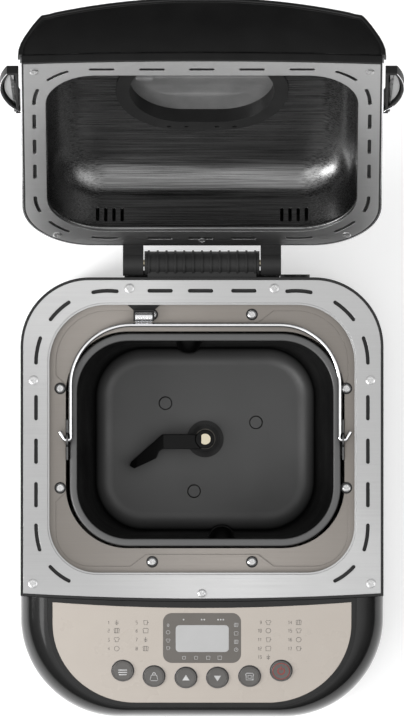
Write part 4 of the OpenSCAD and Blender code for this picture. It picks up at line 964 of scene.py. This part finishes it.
def push_buttons():
    """Dished caps with their marks, and a thin ring round each hole."""
    for key in ("menu", "weight", "up", "down", "crust", "start"):
        node = "button_" + key
        low, high = box_in(node, CONSOLE.inverted())
        cx, cy = (low.x + high.x) / 2, (low.y + high.y) / 2
        collar = (high.x - low.x) / 2
        r = collar - 0.8 * MM
        t = high.z
        profile = [(1.0 * MM, t - 0.14 * MM), (3.0 * MM, t - 0.12 * MM), (r - 1.9 * MM, t - 0.02 * MM),
                   (r - 1.3 * MM, t), (r - 1.15 * MM, t - 0.22 * MM), (r - 0.9 * MM, t - 0.22 * MM),
                   (r - 0.75 * MM, t - 0.03 * MM), (r - 0.35 * MM, t - 0.08 * MM), (r - 0.05 * MM, t - 0.45 * MM),
                   (r, t - 0.9 * MM), (r, -3.1 * MM), (collar, -3.1 * MM), (collar, -4.2 * MM), (2 * MM, -4.2 * MM),
                   (2 * MM, low.z)]
        at = CONSOLE @ Matrix.Translation((cx, cy, 0))
        verts, faces = loft(turned(profile, 72), closed_ends=True)
        piece("cap_" + key, verts, faces, "button_grey", node, place=at, hides=[node])
        scaled = at @ Matrix.Diagonal((MM, MM, MM, 1))
        verts, faces = merged(button_mark(key, (t - 0.12 * MM) / MM))
        ink_finish = finishes["print_red" if key == "start" else "print_light"]
        piece("mark_" + key, verts, faces, "button_grey", node, place=scaled, finish=ink_finish)
        if key == "start":
            ring = circle(0, 0, 6.0, 48)
            verts, faces = ink(ring, 0.5, (t - 0.02 * MM) / MM - 0.05, (t - 0.02 * MM) / MM + 0.05, closed=True)
            piece("mark_start_ring", verts, faces, "button_grey", node, place=scaled, finish=finishes["print_red"])
        rim = r + 0.25 * MM
        profile = [(rim, -0.2 * MM), (rim, 0.10 * MM), (rim + 0.16 * MM, 0.18 * MM), (rim + 0.34 * MM, 0.10 * MM),
                   (rim + 0.4 * MM, -0.2 * MM)]
        verts, faces = loft(turned(profile, 72), round_trip=True)
        piece("halo_" + key, verts, faces, "chrome", "housing", place=at, finish=finishes["cast_metal"])


bread_pan()
flange_washers()
softened("paddle", "kneading_paddle", "paddle", 0.35 * MM, 4, finishes["paddle_black"])
lid_liner()
lid_shell()
lid_fascia()
side_grips()
bumper()
console_print()
push_buttons()


# ---- floor, light and camera ----

def area_light(name, at, aim, size, power):
    """Soft box at a place, turned to another."""
    data = bpy.data.lights.new(name, "AREA")
    data.shape = "RECTANGLE"
    data.size, data.size_y = size
    data.energy = power
    light = bpy.data.objects.new(name, data)
    light.location = at
    light.rotation_euler = (Vector(aim) - Vector(at)).to_track_quat("-Z", "Y").to_euler()
    bpy.context.scene.collection.objects.link(light)


def stage():
    """Plain pale floor."""
    bpy.ops.mesh.primitive_plane_add(size=12.0, location=(0, 0, cad_box[0][2]))
    floor = bpy.context.object
    floor.name = "floor"
    f = Finish("floor", rough=0.85)
    f.colour(f.ramp(f.noise(3.0), [(0.2, grey(0.87)), (0.8, grey(0.9))]))
    f.shader.inputs["Emission Color"].default_value = (1.0, 1.0, 1.0, 1.0)
    f.shader.inputs["Emission Strength"].default_value = 0.3
    floor.data.materials.append(f.material)


def camera():
    """Looks straight down through a long lens, as the photograph does."""
    data = bpy.data.cameras.new("camera")
    data.lens = 850.0
    data.sensor_width = 36.0
    data.sensor_fit = "AUTO"
    deck_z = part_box("rim_plate")[1].z
    frame_height = 0.5196  # what the picture's height spans at the deck
    distance = frame_height * data.lens / data.sensor_width
    cam = bpy.data.objects.new("camera", data)
    cam.location = (0.0, -0.0002, deck_z + distance)
    data.clip_end = 80.0
    bpy.context.scene.collection.objects.link(cam)
    bpy.context.scene.camera = cam


def light():
    """A sky that is bright overhead and dark round the horizon, with soft boxes."""
    world = bpy.data.worlds.new("studio")
    world.use_nodes = True
    tree = world.node_tree
    place = tree.nodes.new("ShaderNodeTexCoord")
    split = tree.nodes.new("ShaderNodeSeparateXYZ")
    ramp = tree.nodes.new("ShaderNodeValToRGB")
    tree.links.new(place.outputs["Generated"], split.inputs["Vector"])
    tree.links.new(split.outputs["Z"], ramp.inputs["Fac"])
    points = ramp.color_ramp.elements
    points.new(0.5)
    points.new(0.8)
    for point, (at, v) in zip(points, [(0.15, 0.03), (0.5, 0.22), (0.8, 0.75), (1.0, 1.0)]):
        point.position = at
        point.color = (v, v, v, 1.0)
    background = tree.nodes["Background"]
    tree.links.new(ramp.outputs["Color"], background.inputs["Color"])
    background.inputs["Strength"].default_value = 1.35
    bpy.context.scene.world = world
    area_light("key", (-1.1, -0.9, 2.2), (0, 0, 0.2), (1.4, 1.4), 16)
    area_light("fill", (1.4, -0.3, 2.0), (0, 0, 0.2), (1.2, 1.4), 8)
    area_light("strip", (-0.9, -0.35, 0.75), (-0.13, -0.22, 0.2), (0.35, 0.6), 9)


stage()
light()
camera()
bpy.context.scene.view_settings.view_transform = "Standard"
